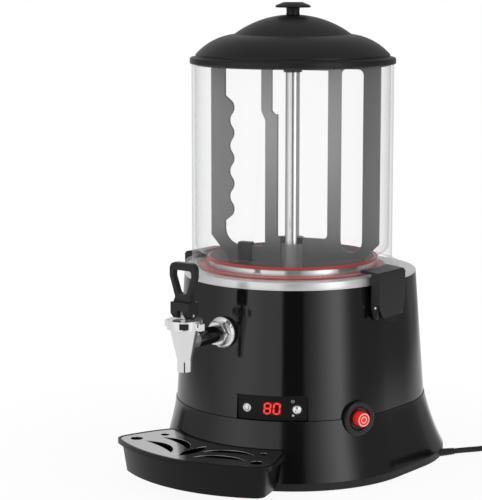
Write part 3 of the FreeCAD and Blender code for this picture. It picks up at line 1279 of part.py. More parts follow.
def tube_path(points, share=0.45):
    """Straight runs joined by tangent arcs, each as large as its two runs allow."""
    edges = []
    radii = []
    start = points[0]
    for before, corner, after in zip(points, points[1:], points[2:]):
        incoming = (corner - before).normalize()
        outgoing = (after - corner).normalize()
        angle = incoming.getAngle(outgoing)
        reach = share * min((corner - before).Length, (after - corner).Length)
        radius = reach / math.tan(angle / 2)
        radii.append(radius)
        entry, leave = corner - incoming * reach, corner + outgoing * reach
        inward = (outgoing - incoming).normalize()
        middle = corner + inward * (radius / math.cos(angle / 2) - radius)
        edges.append(Part.LineSegment(start, entry).toShape())
        edges.append(Part.Arc(entry, middle, leave).toShape())
        start = leave
    edges.append(Part.LineSegment(start, points[-1]).toShape())
    return Part.Wire(edges), radii


def tube(points, radius):
    """A round tube along the path, with its volume checked against section times length."""
    path, radii = tube_path(points)
    ring = Part.Wire([Part.Circle(points[0], points[1] - points[0], radius).toShape()])
    solid = path.makePipeShell([ring], True, True)
    ideal = math.pi * radius ** 2 * path.Length
    print("cord radii", [round(value, 1) for value in radii], "length", round(path.Length, 1),
          "volume ratio", round(solid.Volume / ideal, 4))
    return solid


cord_run = doc.addObject("Part::Feature", "CordRun")
cord_run.Shape = tube([at(*point) for point in ROUTE], number("cord_radius"))
node("power_cord_run", cord_run)

COIL_X = f"({GLAND_X} + coil_ahead)"
COIL_Y = f"({GLAND_Y} + coil_aside)"
OUTER_TURN = "(coil_radius + (coil_turns - 1) * cord_radius)"
COIL_OUTER = "(coil_radius + coil_turns * cord_radius)"
COIL_INNER = "(coil_radius - coil_turns * cord_radius)"
COIL_BOTTOM = "(cord_rest - cord_radius)"
COIL_TOP = f"({COIL_BOTTOM} + 2 * coil_layers * cord_radius)"
ROUND = "cord_radius"
node("power_cord_coil", place(turned("CoilRing", [
    (f"{COIL_OUTER} - {ROUND}", COIL_BOTTOM),
    (COIL_OUTER, f"{COIL_BOTTOM} + {ROUND}", ROUND, "right"),
    (COIL_OUTER, f"{COIL_TOP} - {ROUND}"),
    (f"{COIL_OUTER} - {ROUND}", COIL_TOP, ROUND, "right"), (f"{COIL_INNER} + {ROUND}", COIL_TOP),
    (COIL_INNER, f"{COIL_TOP} - {ROUND}", ROUND, "right"),
    (COIL_INNER, f"{COIL_BOTTOM} + {ROUND}"),
    (f"{COIL_INNER} + {ROUND}", COIL_BOTTOM, ROUND, "right"),
]), COIL_X, COIL_Y))

PLUG_X = f"({COIL_X} + {OUTER_TURN})"
PLUG_AXIS = f"({COIL_TOP} - cord_radius)"


def plug_round(item, along, z=PLUG_AXIS):
    """Lay the item on the plug's line, which leaves the coil's outer turn towards -Y."""
    aim(item, 0, 0, 0)
    return place(item, PLUG_X, f"{COIL_Y} - ({along})", z)


def plug_block(length, width, height, along, across="0", z=PLUG_AXIS):
    """A box lying along the plug's line."""
    return block(f"{PLUG_X} + ({across}) - ({width}) / 2", f"{COIL_Y} - ({along}) - ({length})",
                 f"({z}) - ({height}) / 2", width, length, height)


PLUG_FACE = "(plug_start + plug_relief + plug_length)"
plug_relief = plug_round(cone("cord_radius", "gland_radius", "plug_relief"), "plug_start")
plug_body = plug_block("plug_length", "plug_width", "plug_height", "plug_start + plug_relief")
node("mains_plug", fuse(plug_relief, plug_body))
blades = [
    plug_block("pin_length", "pin_depth", "pin_width", PLUG_FACE, f"{side} * pin_pitch / 2",
               f"{PLUG_AXIS} + blade_rise") for side in (-1, 1)
]
earth_pin = plug_round(cylinder("earth_radius", "earth_length"), PLUG_FACE,
                       f"{PLUG_AXIS} - earth_drop")
node("plug_pins", group(*blades, earth_pin))

# ---------------------------------------------------------------------------------------------
# Check and export
# ---------------------------------------------------------------------------------------------
doc.recompute()
for item in doc.Objects:
    if "Invalid" in item.State or "Error" in item.State:
        raise RuntimeError(f"{item.Label} ({item.Name}) failed: {item.State}")
os.makedirs("parts", exist_ok=True)
for item in NODES:
    if item.Shape.isNull() or not item.Shape.isValid() or not item.Shape.Solids:
        raise RuntimeError(f"{item.Label} has no valid solid")
for item in NODES:
    item.Shape.exportStep(f"parts/{item.Label}.step")
print(len(NODES), "nodes")
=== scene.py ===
# %% [markdown]
# # A hot chocolate dispenser, dressed for the studio
# The machine is a black housing with a steel deck, a clear bowl held by two latches, a stirring
# paddle, a chrome tap and a hooked-on drip tray. The CAD model gives every part its place. This
# lesson gives each part its surface: first the frame, then a small kit for shapes and a small
# kit for finishes, then the machine from the table upwards, and last the light.

# %% Load the fixed frame
import json
import bmesh
import bpy
import numpy as np
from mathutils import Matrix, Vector


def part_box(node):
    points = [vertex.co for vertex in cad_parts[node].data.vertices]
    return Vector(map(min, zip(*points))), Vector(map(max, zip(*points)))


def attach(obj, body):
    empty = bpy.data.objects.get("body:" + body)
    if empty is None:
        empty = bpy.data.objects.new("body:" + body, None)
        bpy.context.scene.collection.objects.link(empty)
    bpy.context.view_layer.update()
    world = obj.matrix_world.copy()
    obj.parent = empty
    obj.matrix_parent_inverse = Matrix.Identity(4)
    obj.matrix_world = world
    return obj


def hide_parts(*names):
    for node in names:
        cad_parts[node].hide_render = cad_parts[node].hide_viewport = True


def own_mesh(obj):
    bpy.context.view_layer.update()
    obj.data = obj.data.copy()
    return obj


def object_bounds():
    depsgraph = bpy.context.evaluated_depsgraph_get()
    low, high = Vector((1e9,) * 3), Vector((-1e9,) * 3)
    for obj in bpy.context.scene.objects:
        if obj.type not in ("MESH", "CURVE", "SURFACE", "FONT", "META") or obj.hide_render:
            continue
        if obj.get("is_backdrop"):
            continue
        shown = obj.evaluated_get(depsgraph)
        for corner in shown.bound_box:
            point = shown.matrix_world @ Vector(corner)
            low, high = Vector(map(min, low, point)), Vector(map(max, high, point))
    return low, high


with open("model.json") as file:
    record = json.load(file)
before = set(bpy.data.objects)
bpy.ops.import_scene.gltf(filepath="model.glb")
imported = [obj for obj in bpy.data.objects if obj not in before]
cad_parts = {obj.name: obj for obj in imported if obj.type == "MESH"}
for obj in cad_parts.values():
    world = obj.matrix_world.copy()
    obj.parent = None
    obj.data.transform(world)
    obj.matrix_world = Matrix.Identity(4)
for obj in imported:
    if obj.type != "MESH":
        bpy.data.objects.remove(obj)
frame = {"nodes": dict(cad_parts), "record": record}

NODES = frame["nodes"]
CAD_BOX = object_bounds()
print(len(NODES), "nodes; the CAD box is", [[round(v, 4) for v in corner] for corner in CAD_BOX])

# %% [markdown]
# ## Places
# All shapes are given in millimetres from the bowl's axis, with the tap towards -Y, because that
# is how a maker would measure the machine. One function turns them into Blender's metres in the
# frame of the CAD model, where the bowl's axis stands 9.5 mm behind the origin.

# %% From millimetres at the bowl's axis to the frame
AXIS = np.array([0.0, 9.5, 0.0])


def metres(points):
    """The points in metres: (point + axis) / 1000."""
    return (np.asarray(points, float) + AXIS) / 1000


def from_front(angle):
    """The level direction at an angle from the front towards +X: (sin a, -cos a, 0)."""
    turn = np.radians(angle)
    return np.array([np.sin(turn), -np.cos(turn), 0.0])


def linked(name, data):
    """An object for the data, linked to the scene."""
    item = bpy.data.objects.new(name, data)
    bpy.context.scene.collection.objects.link(item)
    return item


FORWARD, UP = from_front(0), np.array([0, 0, 1.0])
TAP = np.array([0.0, -215.0, 0.0])
print("the tap's axis stands at", metres(TAP).round(4))

# %% [markdown]
# ## The camera
# A long lens from some 2.3 m away keeps the upright edges of a tall machine nearly parallel. It
# stands to the right of the front and looks down by a little less than nine degrees, so that the
# deck and the grid of the drip tray show as narrow ellipses.

# %% Set up the camera
LOOK_TURN, LOOK_DOWN = np.radians(37.5), np.radians(8.77)
look = Vector((-np.sin(LOOK_TURN) * np.cos(LOOK_DOWN), np.cos(LOOK_TURN) * np.cos(LOOK_DOWN),
               -np.sin(LOOK_DOWN)))
camera = linked("camera", bpy.data.cameras.new("camera"))
camera.location = (1.3198, -1.8163, 0.6175)
camera.rotation_euler = look.to_track_quat("-Z", "Y").to_euler()
camera.data.lens = 129.78
camera.data.sensor_width = 36
camera.data.clip_end = 50
bpy.context.scene.camera = camera
print("the camera looks along", [round(v, 3) for v in look])

# %% [markdown]
# ## Surfaces from grids
# Every new piece is a grid of points worked out as one array. Neighbouring points make a quad,
# and a grid may close on itself around a ring, along a loop, or both. Where a profile starts on
# its axis, a whole row falls on one point, and merging doubles closes that pole.

# %% Quads between the points of a grid
MERGE = 2e-6                # metres between two points that are one


def quads(rows, columns, ring, loop, first=0):
    """Corner indices of the quads of a grid of rows by columns, as one array.

    The quad at (r, c) has the corners (r, c), (r, c+1), (r+1, c+1), (r+1, c). ring joins the
    last column to the first, loop the last row to the first."""
    index = first + np.arange(rows * columns).reshape(rows, columns)
    if ring:
        index = np.concatenate([index, index[:, :1]], axis=1)
    if loop:
        index = np.concatenate([index, index[:1]], axis=0)
    return np.stack([index[:-1, :-1], index[:-1, 1:], index[1:, 1:], index[1:, :-1]], axis=-1)


def build(name, body, *grids, slot, replaces=(), sharp=32, finish=None):
    """A mesh object from grids (points, ring, loop) or (points, ring, loop, keep).

    keep is an array of truths for the quads, and leaves openings in a wall."""
    places, faces, count = [], [], 0
    for points, ring, loop, *keep in grids:
        rows, columns = points.shape[:2]
        quad = quads(rows, columns, ring, loop, count)
        faces.append(quad[keep[0]] if keep else quad.reshape(-1, 4))
        places.append(points.reshape(-1, 3))
        count += rows * columns
    mesh = bpy.data.meshes.new(name)
    mesh.from_pydata(metres(np.concatenate(places)), [], np.concatenate(faces))
    return finish_piece(name, mesh, body, slot, replaces, sharp, finish)


def finish_piece(name, mesh, body, slot, replaces, sharp, finish):
    """Merge the doubles, shade smooth but for the sharp edges, tie the piece to its body, and put
    on its finish: the one of its slot, unless another is given."""
    shape = bmesh.new()
    shape.from_mesh(mesh)
    bmesh.ops.remove_doubles(shape, verts=shape.verts, dist=MERGE)
    loose = [point for point in shape.verts if not point.link_faces]
    bmesh.ops.delete(shape, geom=loose, context="VERTS")
    shape.to_mesh(mesh)
    shape.free()
    mesh.shade_smooth()
    mesh.set_sharp_from_angle(angle=np.radians(sharp))
    item = linked(name, mesh)
    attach(item, body)
    if replaces:
        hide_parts(*replaces)
    print(name, "has", len(mesh.polygons), "faces")
    return wear(item, finish or FINISHES[slot])


# %% Modifiers that finish a wall
def thicken(item, wall):
    """Give a surface whose faces point outwards its wall on the inner side."""
    tool = item.modifiers.new("wall", "SOLIDIFY")
    tool.thickness = wall / 1000
    tool.offset = -1
    return item


def soften(item, radius, steps=2, angle=32):
    """Round the edges that turn by more than the angle, as a mould or a file leaves them."""
    tool = item.modifiers.new("edges", "BEVEL")
    tool.width = radius / 1000
    tool.segments = steps
    tool.limit_method = "ANGLE"
    tool.angle_limit = np.radians(angle)
    tool.harden_normals = True
    return item


# %% [markdown]
# ## Profiles
# Most parts are turned, moulded or drawn from a round plan, so a profile does most of the work.
# Real edges are never quite sharp, and the thin light line along a rounded edge is what makes a
# black part readable. So a profile is written by its corners, each with a radius, and the arcs
# are put in by formula.

# %% Round the corners of a profile
def rounded(corners, closed=True, steps=5):
    """The corners (a, b, radius) joined by straight runs and tangent arcs.

    An arc of radius r at a corner that turns by t begins and ends r * tan(t / 2) from it. Its
    points lie on the circle about the point that is r from both runs."""
    ring = np.array([(*corner, 0)[:3] for corner in corners], float)
    line = []
    for index, (a, b, radius) in enumerate(ring):
        corner = np.array([a, b])
        is_end = not closed and index in (0, len(ring) - 1)
        if radius <= 0 or is_end:
            line.append(corner[None])
            continue
        before = ring[index - 1, :2] - corner
        after = ring[(index + 1) % len(ring), :2] - corner
        before, after = before / np.hypot(*before), after / np.hypot(*after)
        inside = np.arccos(np.clip(before @ after, -1, 1))
        middle = (before + after) / np.hypot(*(before + after))
        centre = corner + middle * radius / np.sin(inside / 2)
        first = corner + before * radius / np.tan(inside / 2) - centre
        last = corner + after * radius / np.tan(inside / 2) - centre
        share = np.linspace(0, 1, steps + 1)[:, None]
        sweep = np.pi - inside
        arc = (first * np.sin((1 - share) * sweep) + last * np.sin(share * sweep)) / np.sin(sweep)
        line.append(centre + arc)
    return np.concatenate(line)


def arc_run(begin, end, radius, steps=16):
    """Points of the arc between two points that bulges to the right of the way along it."""
    begin, end = np.array(begin, float), np.array(end, float)
    chord = end - begin
    across = np.array([-chord[1], chord[0]]) / np.hypot(*chord)
    centre = (begin + end) / 2 + across * np.sqrt(radius ** 2 - (chord @ chord) / 4)
    first, last = (np.arctan2(*(point - centre)[::-1]) for point in (begin, end))
    turn = np.linspace(first, last, steps + 1)
    return centre + radius * np.stack([np.cos(turn), np.sin(turn)], axis=1)


# %% Turn a profile about an axis
def turned(profile, centre=(0, 0, 0), axis=(0, 0, 1), steps=128):
    """The grid centre + h * axis + r * (u cos t + v sin t) for each (r, h) of the profile.

    u, v and the axis are square to each other. A profile that runs anticlockwise, up its outer
    wall and down its inner one, gives faces that point out of the material."""
    axis = np.asarray(axis, float)
    side = np.array([1.0, 0, 0]) if abs(axis[2]) > 0.9 else np.array([0, 0, 1.0])
    u = np.cross(side, axis)
    u /= np.linalg.norm(u)
    v = np.cross(axis, u)
    turn = np.linspace(0, 2 * np.pi, steps, endpoint=False)[None, :, None]
    radius, height = profile[:, 0][:, None, None], profile[:, 1][:, None, None]
    around = u * np.cos(turn) + v * np.sin(turn)
    return np.asarray(centre, float) + height * axis + radius * around


def lathe(corners, centre=(0, 0, 0), axis=(0, 0, 1), steps=128):
    """The grid of a turned part from the corners of its section, with both ways closed."""
    return turned(rounded(corners), centre, axis, steps), True, True


square = [(0, 0, 1), (9, 0, 1), (9, 9, 1), (0, 9, 1)]
print("a square with rounded corners has", len(rounded(square)), "points")

# %% [markdown]
# ## Parts that keep their CAD form
# Flat parts cut from plate, such as the paddle or the latches, already have the right form in the
# CAD model, but its edges are knife-sharp and its surface is loose triangles. A copy is merged,
# its flat regions become single faces, and a bevel rounds the edges. The CAD part itself is
# left alone.

# %% A dressed copy of a CAD part
def dressed(name, node, body, radius, slot, steps=2, angle=32, finish=None):
    """A copy of a node's mesh, merged and with its flat regions joined, with rounded edges."""
    mesh = NODES[node].data.copy()
    shape = bmesh.new()
    shape.from_mesh(mesh)
    bmesh.ops.remove_doubles(shape, verts=shape.verts, dist=MERGE)
    bmesh.ops.dissolve_limit(shape, angle_limit=np.radians(0.6), verts=shape.verts,
                             edges=shape.edges, delimit={"NORMAL"})
    shape.to_mesh(mesh)
    shape.free()
    for layer in list(mesh.uv_layers):
        mesh.uv_layers.remove(layer)
    if mesh.has_custom_normals:
        bpy.context.view_layer.update()
        mesh.normals_split_custom_set([(0, 0, 0)] * len(mesh.loops))
    piece = finish_piece(name, mesh, body, slot, (node,), angle, finish)
    return soften(piece, radius, steps, angle)


# %% [markdown]
# ## A small kit for finishes
# A finish is a tree of shader nodes. Sums written as node after node are hard to read, so a
# socket is wrapped in a class that knows the usual operators, and each operator adds its Math
# node. Any other node comes from one method that takes its type, its settings and its values.

# %% Arithmetic on sockets
class Signal:
    """A number or colour that flows out of a shader node."""

    def __init__(self, finish, socket):
        self.finish, self.socket = finish, socket

    def maths(self, operation, *values):
        """A Math node with these values as its inputs."""
        return self.finish.node("Math", {"operation": operation}, dict(enumerate(values)))

    def __add__(self, other):
        return self.maths("ADD", self, other)

    def __sub__(self, other):
        return self.maths("SUBTRACT", self, other)

    def __rsub__(self, other):
        return self.maths("SUBTRACT", other, self)

    def __mul__(self, other):
        return self.maths("MULTIPLY", self, other)

    def __truediv__(self, other):
        return self.maths("DIVIDE", self, other)

    def __rtruediv__(self, other):
        return self.maths("DIVIDE", other, self)

    def __neg__(self):
        return self.maths("MULTIPLY", self, -1.0)

    __radd__, __rmul__ = __add__, __mul__

    def __pow__(self, other):
        return self.maths("POWER", self, other)

    def __rpow__(self, other):
        return self.maths("POWER", other, self)

    def between(self, low, high):
        """0 below low, 1 above high and a smooth rise between them."""
        return self.finish.node("MapRange", {"interpolation_type": "SMOOTHSTEP"},
                                {0: self, 1: low, 2: high, 3: 0.0, 4: 1.0})


# %% A tree of nodes, and a finish made of one
class Tree:
    """A node tree whose nodes are written as expressions."""

    def __init__(self, tree):
        self.tree = tree
        tree.nodes.clear()

    def node(self, kind, settings=(), values=(), output=0):
        """Add a shader node, apply its settings, then its values and links; give one output."""
        node = self.tree.nodes.new("ShaderNode" + kind)
        for key, setting in dict(settings).items():
            if key == "stops":
                ramp = node.color_ramp.elements
                while len(ramp) < len(setting):
                    ramp.new(1.0)
                for element, (position, tone) in zip(ramp, setting):
                    element.position = position
                    element.color = (tone, tone, tone, 1)
            else:
                setattr(node, key, setting)
        for key, value in dict(values).items():
            if isinstance(value, Signal):
                self.tree.links.new(value.socket, node.inputs[key])
            else:
                node.inputs[key].default_value = value
        return Signal(self, node.outputs[output] if node.outputs else None)


class Finish(Tree):
    """A material with one shader."""

    def __init__(self, name, **constants):
        self.material = bpy.data.materials.new(name)
        self.material.use_nodes = True
        super().__init__(self.material.node_tree)
        self.surface = self.node("BsdfPrincipled")
        self.shader = self.surface.socket.node
        self.node("OutputMaterial", {}, {"Surface": self.surface})
        self.place = self.node("TexCoord", output="Object")
        for socket, value in constants.items():
            self.socket_of(socket).default_value = value

    def socket_of(self, name):
        """The shader's input for a name such as base_color or ior."""
        return self.shader.inputs[name.replace("_", " ").title().replace("Ior", "IOR")]

    def grain(self, scale, detail=3.0, roughness=0.55, stretch=None, place=None):
        """Noise from 0 to 1, with the place stretched along chosen axes."""
        spot = place or self.place
        if stretch:
            spot = self.node("Mapping", {}, {"Vector": spot, "Scale": stretch})
        return self.node("TexNoise", {}, {"Vector": spot, "Scale": scale, "Detail": detail,
                                          "Roughness": roughness})

    def blend(self, share, first, second):
        """The first colour where share is 0, the second where it is 1."""
        return self.node("Mix", {"data_type": "RGBA"}, {0: share, 6: first, 7: second}, output=2)

    def feed(self, **links):
        """Link signals to the shader's sockets by name."""
        for socket, signal in links.items():
            self.tree.links.new(signal.socket, self.socket_of(socket))
        return self

    def bump(self, height, strength, distance):
        """Let a height in 0 to 1 tilt the surface; distance is in millimetres."""
        return self.feed(normal=self.node("Bump", {}, {"Height": height, "Strength": strength,
                                                       "Distance": distance / 1000}))


def grey(tone, warmth=0.0):
    """A near-neutral colour, a little warmer for a positive warmth."""
    return (tone * (1 + warmth), tone, tone * (1 - warmth), 1)


def wear(item, finish):
    """Put a finish on a piece as its only material."""
    item.data.materials.clear()
    item.data.materials.append(finish.material)
    return item


# %% [markdown]
# ## Black plastics
# The shell is moulded in a high-gloss black and the smaller parts in a satin one. Both are nearly
# black underneath: what is seen is the room mirrored in them. Faint smears change the roughness,
# and a slow swell in the wall bends the reflections a little, as in every moulded wall.

# %% Gloss black for the housing
def gloss_black(name, tone, roughness, swell=0.25):
    """Nearly black and mirror-like, with faint smears and a slow swell in the wall."""
    finish = Finish(name, roughness=roughness, ior=1.5)
    smear = finish.grain(9.0, 4.0, stretch=(1, 1, 0.35))
    dust = finish.grain(420.0, 2.0)
    finish.feed(
        base_color=finish.blend(smear, grey(tone), grey(tone * 1.35)),
        roughness=roughness + smear * 0.05 + dust.between(0.62, 0.8) * 0.05,
    )
    return finish.bump(finish.grain(14.0, 1.0) + dust * 0.01, swell, 0.35)


# %% Satin black for lid, latches and small parts
def satin_black(name, tone, roughness, pitch=700.0, gloss=0.3):
    """Black with fine pores; gloss is how strongly it mirrors."""
    finish = Finish(name, roughness=roughness, specular_ior_level=gloss)
    cloud = finish.grain(22.0, 3.0)
    pores = finish.grain(pitch, 2.0)
    finish.feed(
        base_color=finish.blend(cloud, grey(tone, 0.02), grey(tone * 1.5, 0.02)),
        roughness=roughness + (cloud - 0.5) * 0.12 + (pores - 0.5) * 0.08,
    )
    return finish.bump(pores, 0.18, 0.06)


# %% [markdown]
# ## The deck is brushed steel: fine streaks that run around the machine. The pot and the column are polished steel.
# The deck, the pot and the column are brushed steel: fine streaks that run around the machine.
# The tap is chrome plate over brass, which is nearly a mirror, with a soft cloud of wiping marks.
# A cut copper-zinc surface shows in the plug's pins.

# %% Brushed and polished metal
def brushed(name, tone, roughness, stretch, warmth=0.0, depth=0.25, metallic=1.0):
    """Metal with fine streaks square to the axis of the largest stretch."""
    finish = Finish(name, metallic=metallic, roughness=roughness)
    streak = finish.grain(260.0, 4.0, 0.7, stretch)
    cloud = finish.grain(16.0, 2.0)
    finish.feed(
        base_color=finish.blend(streak, grey(tone * 0.82, warmth), grey(tone * 1.1, warmth)),
        roughness=roughness + (streak - 0.5) * 0.22 + (cloud - 0.5) * 0.08,
    )
    return finish.bump(streak, depth, 0.05)


def polished(name, tone, roughness, warmth=0.0, metallic=1.0):
    """A metal mirror with soft clouds of wiping marks."""
    finish = Finish(name, metallic=metallic, roughness=roughness)
    wiped = finish.grain(60.0, 4.0, 0.6, (1, 1, 0.3))
    finish.feed(
        base_color=finish.blend(wiped, grey(tone * 0.96, warmth), grey(tone, warmth)),
        roughness=roughness + wiped.between(0.45, 0.75) * 0.06,
    )
    return finish.bump(finish.grain(30.0, 1.0), 0.06, 0.1)


# %% [markdown]
# ## The clear bowl
# Clear plastic shows mostly at its edges: where the wall is seen at a slant it mirrors the room
# and darkens what is behind. Seen square it is nearly nothing. The alpha follows Layer Weight,
# which is that slant, with faint rubbed streaks on top.

# %% Clear plastic
def clear_plastic(name):
    """Nearly nothing where it is seen square, a mirror at a slant."""
    finish = Finish(name, roughness=0.04, ior=1.49, base_color=(0.86, 0.88, 0.9, 1))
    slant = finish.node("LayerWeight", {}, {"Blend": 0.32}, output="Facing")
    rubbed = finish.grain(45.0, 4.0, 0.6, (1, 1, 0.12))
    finish.feed(
        base_color=finish.blend(slant, (0.97, 0.98, 0.99, 1), (0.5, 0.52, 0.54, 1)),
        alpha=0.03 + (slant ** 3.0) * 0.75 + rubbed.between(0.55, 0.8) * 0.03,
        roughness=0.03 + rubbed * 0.05,
    )
    return finish.bump(finish.grain(11.0, 1.0), 0.15, 0.3)


# %% [markdown]
# ## Smoke-grey plate
# The paddle's plastic is smoke grey and lets a little light through. Painted light makes its
# middle strips lighter towards the top, and painted shade darkens the foot near the seal and the
# strip at the far right. So its tone follows the height and the distance from the bowl's axis.

# %% Smoke-grey plastic with painted light and shade
def smoke_grey_painted_light(name):
    """Grey with painted light and shade by the height and the distance from the axis, both in
    metres.
    """
    finish = Finish(name, roughness=0.4, specular_ior_level=0.4)
    spot = finish.node("SeparateXYZ", {}, {0: finish.place})
    across, height = (Signal(finish, spot.socket.node.outputs[axis]) for axis in ("X", "Z"))
    reach = across.maths("ABSOLUTE", across)
    # painted light: the middle strips grow lighter towards the top
    lit = height.between(0.27, 0.5) * (1 - reach.between(0.058, 0.08))
    cloud = finish.grain(22.0, 3.0)
    tone = finish.blend(lit + cloud * 0.08, grey(0.22), grey(0.5))
    # painted shade: the strip at the far right is darker
    tone = finish.blend(across.between(0.075, 0.088), tone, grey(0.14))
    # painted shade: the foot near the seal is dark
    finish.feed(base_color=finish.blend(height.between(0.262, 0.3), grey(0.1), tone),
                roughness=0.4 + (cloud - 0.5) * 0.12)
    return finish.bump(finish.grain(520.0, 2.0), 0.12, 0.05)


# %% [markdown]
# ## Coloured parts
# Silicone rubber is soft and slightly cloudy, the power button is gloss red, and the board behind
# the panel is green lacquer over copper tracks.

# %% Silicone, red plastic, rubber and board
def silicone(name, colour, deep, roughness=0.42):
    """A soft colour clouded with a deeper one."""
    finish = Finish(name, roughness=roughness, ior=1.43)
    cloud = finish.grain(40.0, 3.0)
    finish.feed(base_color=finish.blend(cloud, deep, colour),
                roughness=roughness + (cloud - 0.5) * 0.15)
    return finish.bump(finish.grain(500.0), 0.1, 0.05)


def lacquered_board(name):
    """Green lacquer over a pattern of tracks."""
    finish = Finish(name, roughness=0.3)
    tracks = finish.node("TexBrick", {}, {"Vector": finish.place, "Scale": 160.0,
                                          "Mortar Size": 0.06}, output="Fac")
    finish.feed(base_color=finish.blend(tracks, (0.02, 0.14, 0.05, 1), (0.06, 0.3, 0.1, 1)))
    return finish.bump(tracks, 0.2, 0.05)


# %% [markdown]
# ## One finish for each material of the machine
# The record of the machine gives every part a material slot. Each slot gets its finish here, and
# every CAD part wears the finish of its slot, hidden ones inside the housing too, because the
# parts can be taken apart and looked at. Only the centre column and the heating pot wear
# polished steel instead.

# %% Finishes by slot
FINISHES = {
    "housing_black": gloss_black("gloss_black", 0.0045, 0.06),
    "skirt_black": gloss_black("skirt_gloss_black", 0.005, 0.1),
    "base_black": satin_black("plinth_black", 0.012, 0.42),
    "foot_rubber": satin_black("foot_rubber", 0.018, 0.7, 380.0),
    "steel": brushed("brushed_steel", 0.84, 0.24, (1, 1, 14), metallic=0.5),
    "bowl_clear": clear_plastic("clear_bowl_plastic"),
    "seal_red": silicone("red_silicone", (0.62, 0.02, 0.015, 1), (0.42, 0.01, 0.01, 1)),
    "lid_black": satin_black("lid_satin_black", 0.009, 0.4),
    "paddle_grey": smoke_grey_painted_light("paddle_grey_painted_light"),
    "trim_black": satin_black("trim_black", 0.013, 0.3),
    "chrome": polished("chrome_plate", 0.92, 0.06, metallic=0.85),
    "zinc": brushed("zinc_plated_steel", 0.5, 0.36, (1, 1, 3), 0.02),
    "button_red": silicone("red_button_gloss", (0.72, 0.02, 0.012, 1), (0.55, 0.01, 0.01, 1), 0.16),
    "display_dark": gloss_black("display_window", 0.006, 0.05),
    "board_green": lacquered_board("board_lacquer"),
    "cord_black": satin_black("cord_sheath", 0.016, 0.5, 900.0),
    "brass": brushed("bare_brass", 0.6, 0.3, (6, 1, 1), 0.25),
}
POLISHED_STEEL = polished("polished_steel", 0.82, 0.1, metallic=0.75)
for part in frame["record"]["subparts"]:
    is_polished = part["node"] in ("centre_column", "heating_pot")
    wear(NODES[part["node"]], POLISHED_STEEL if is_polished else FINISHES[part["material_slot"]])
print(len(FINISHES), "finishes on", len(NODES), "CAD parts")

# %% [markdown]
# ## The mains lead
# The lead leaves the rear of the plinth through a ribbed relief, comes down to the table and runs
# straight back. The rest of its length is wound up out of the way: three turns on the table, two
# and a half on top of them, then the plug. Its line is one spline. The run's control points are
# the ones of the CAD route, and the turns are more control points of the same spline. A spline of
# this order stays inside its control points by the cosine of half a step, so the turns' control
# points stand that much further out. The bevel is 1 and each point's radius makes it the cord's,
# because the box of a curve is its points plus their radii.

# %% The run and the coil as one line
CORD_RADIUS = 3.5
GLAND_WAY = np.array([np.cos(np.radians(58)), np.sin(np.radians(58)), 0])
GLAND = np.array([155 * np.cos(np.radians(20.3)), 62 + 155 * np.sin(np.radians(20.3)), 5])
CORD_EXIT = GLAND + 27 * GLAND_WAY
RUN = GLAND + np.array([(23.8, 38.2, 0), (33.1, 57.9, -1.4), (43.1, 82.5, -1.4),
                        (55.6, 106.2, -1.4), (70.6, 127.2, -1.4)])
COIL = GLAND + np.array([110.5, 98.7, -1.4])
COIL_START, STEP = 144.46, 15.0


def coil_turns():
    """Control points (R cos t, R sin t, z) of the winding, clockwise from where the run meets it.

    R is 49, 42 and 35 mm over three turns below, then 35, 42 and 49 above; each change and the
    rise by a cord's thickness happen over the last sixth of a turn."""
    wound = np.arange(STEP, 360 * 5 + COIL_START + 1e-6, STEP)
    wound = np.append(wound, 360 * 5 + COIL_START)
    turns = wound / 360

    def change(at):
        """A smooth step from 0 to 1 that ends after that many turns."""
        share = np.clip((turns - at + 1 / 6) * 6, 0, 1)
        return share * share * (3 - 2 * share)

    radius = 49 - 7 * change(1) - 7 * change(2) + 7 * change(4) + 7 * change(5)
    angle = np.radians(COIL_START - wound)
    out = radius / np.cos(np.radians(STEP / 2))
    return COIL + np.stack([out * np.cos(angle), out * np.sin(angle), 7 * change(3)], axis=1)


TURNS = coil_turns()
COIL_END = COIL + np.array([49, 0, 7])
PLUG_START = COIL_END + np.array([0, -19, 0])
route = metres(np.vstack([CORD_EXIT, RUN, TURNS[:-1], COIL_END + (0, -5, 0), PLUG_START]))
cord_line = bpy.data.curves.new("mains_cord", "CURVE")
cord_line.dimensions = "3D"
cord_line.bevel_depth = 1.0
cord_line.bevel_resolution = 5
cord_line.resolution_u = 6
spline = cord_line.splines.new("NURBS")
spline.points.add(len(route) - 1)
spline.points.foreach_set("co", np.column_stack([route, np.ones(len(route))]).ravel())
spline.points.foreach_set("radius", np.full(len(route), CORD_RADIUS / 1000))
spline.order_u = 3
spline.use_endpoint_u = True
cord = linked("mains_cord", cord_line)
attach(cord, "machine")
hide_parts("power_cord_run", "power_cord_coil")
wear(cord, FINISHES["cord_black"])
print("the lead has", len(route), "control points and is",
      round(float(np.linalg.norm(np.diff(route, axis=0), axis=1).sum()), 3), "m along them")

# %% [markdown]
# ## Relief and plug
# The relief at the plinth is a tapered sleeve with grooves, so that it bends as a spring does.
# The plug is moulded on the lead: a body whose section goes from round at the lead to a rounded
# block, held between finger and thumb at its waist.

# %% Grooved relief
sleeve = np.array([
    (3.3, -12), (4.8, -12), (4.8, 0), (4.8, 12), (4.4, 13), (4.75, 14), (4.7, 15.5), (4.0, 16.5),
    (4.6, 17.5), (4.5, 19), (3.9, 20), (4.45, 21), (4.35, 22.5), (3.8, 23.5), (4.25, 24.5),
    (4.1, 26.4), (3.6, 27), (3.3, 27)])
build("cord_relief", "machine", (turned(sleeve, GLAND, GLAND_WAY, 40), True, True),
      slot="cord_black", replaces=("cord_gland",), sharp=50)


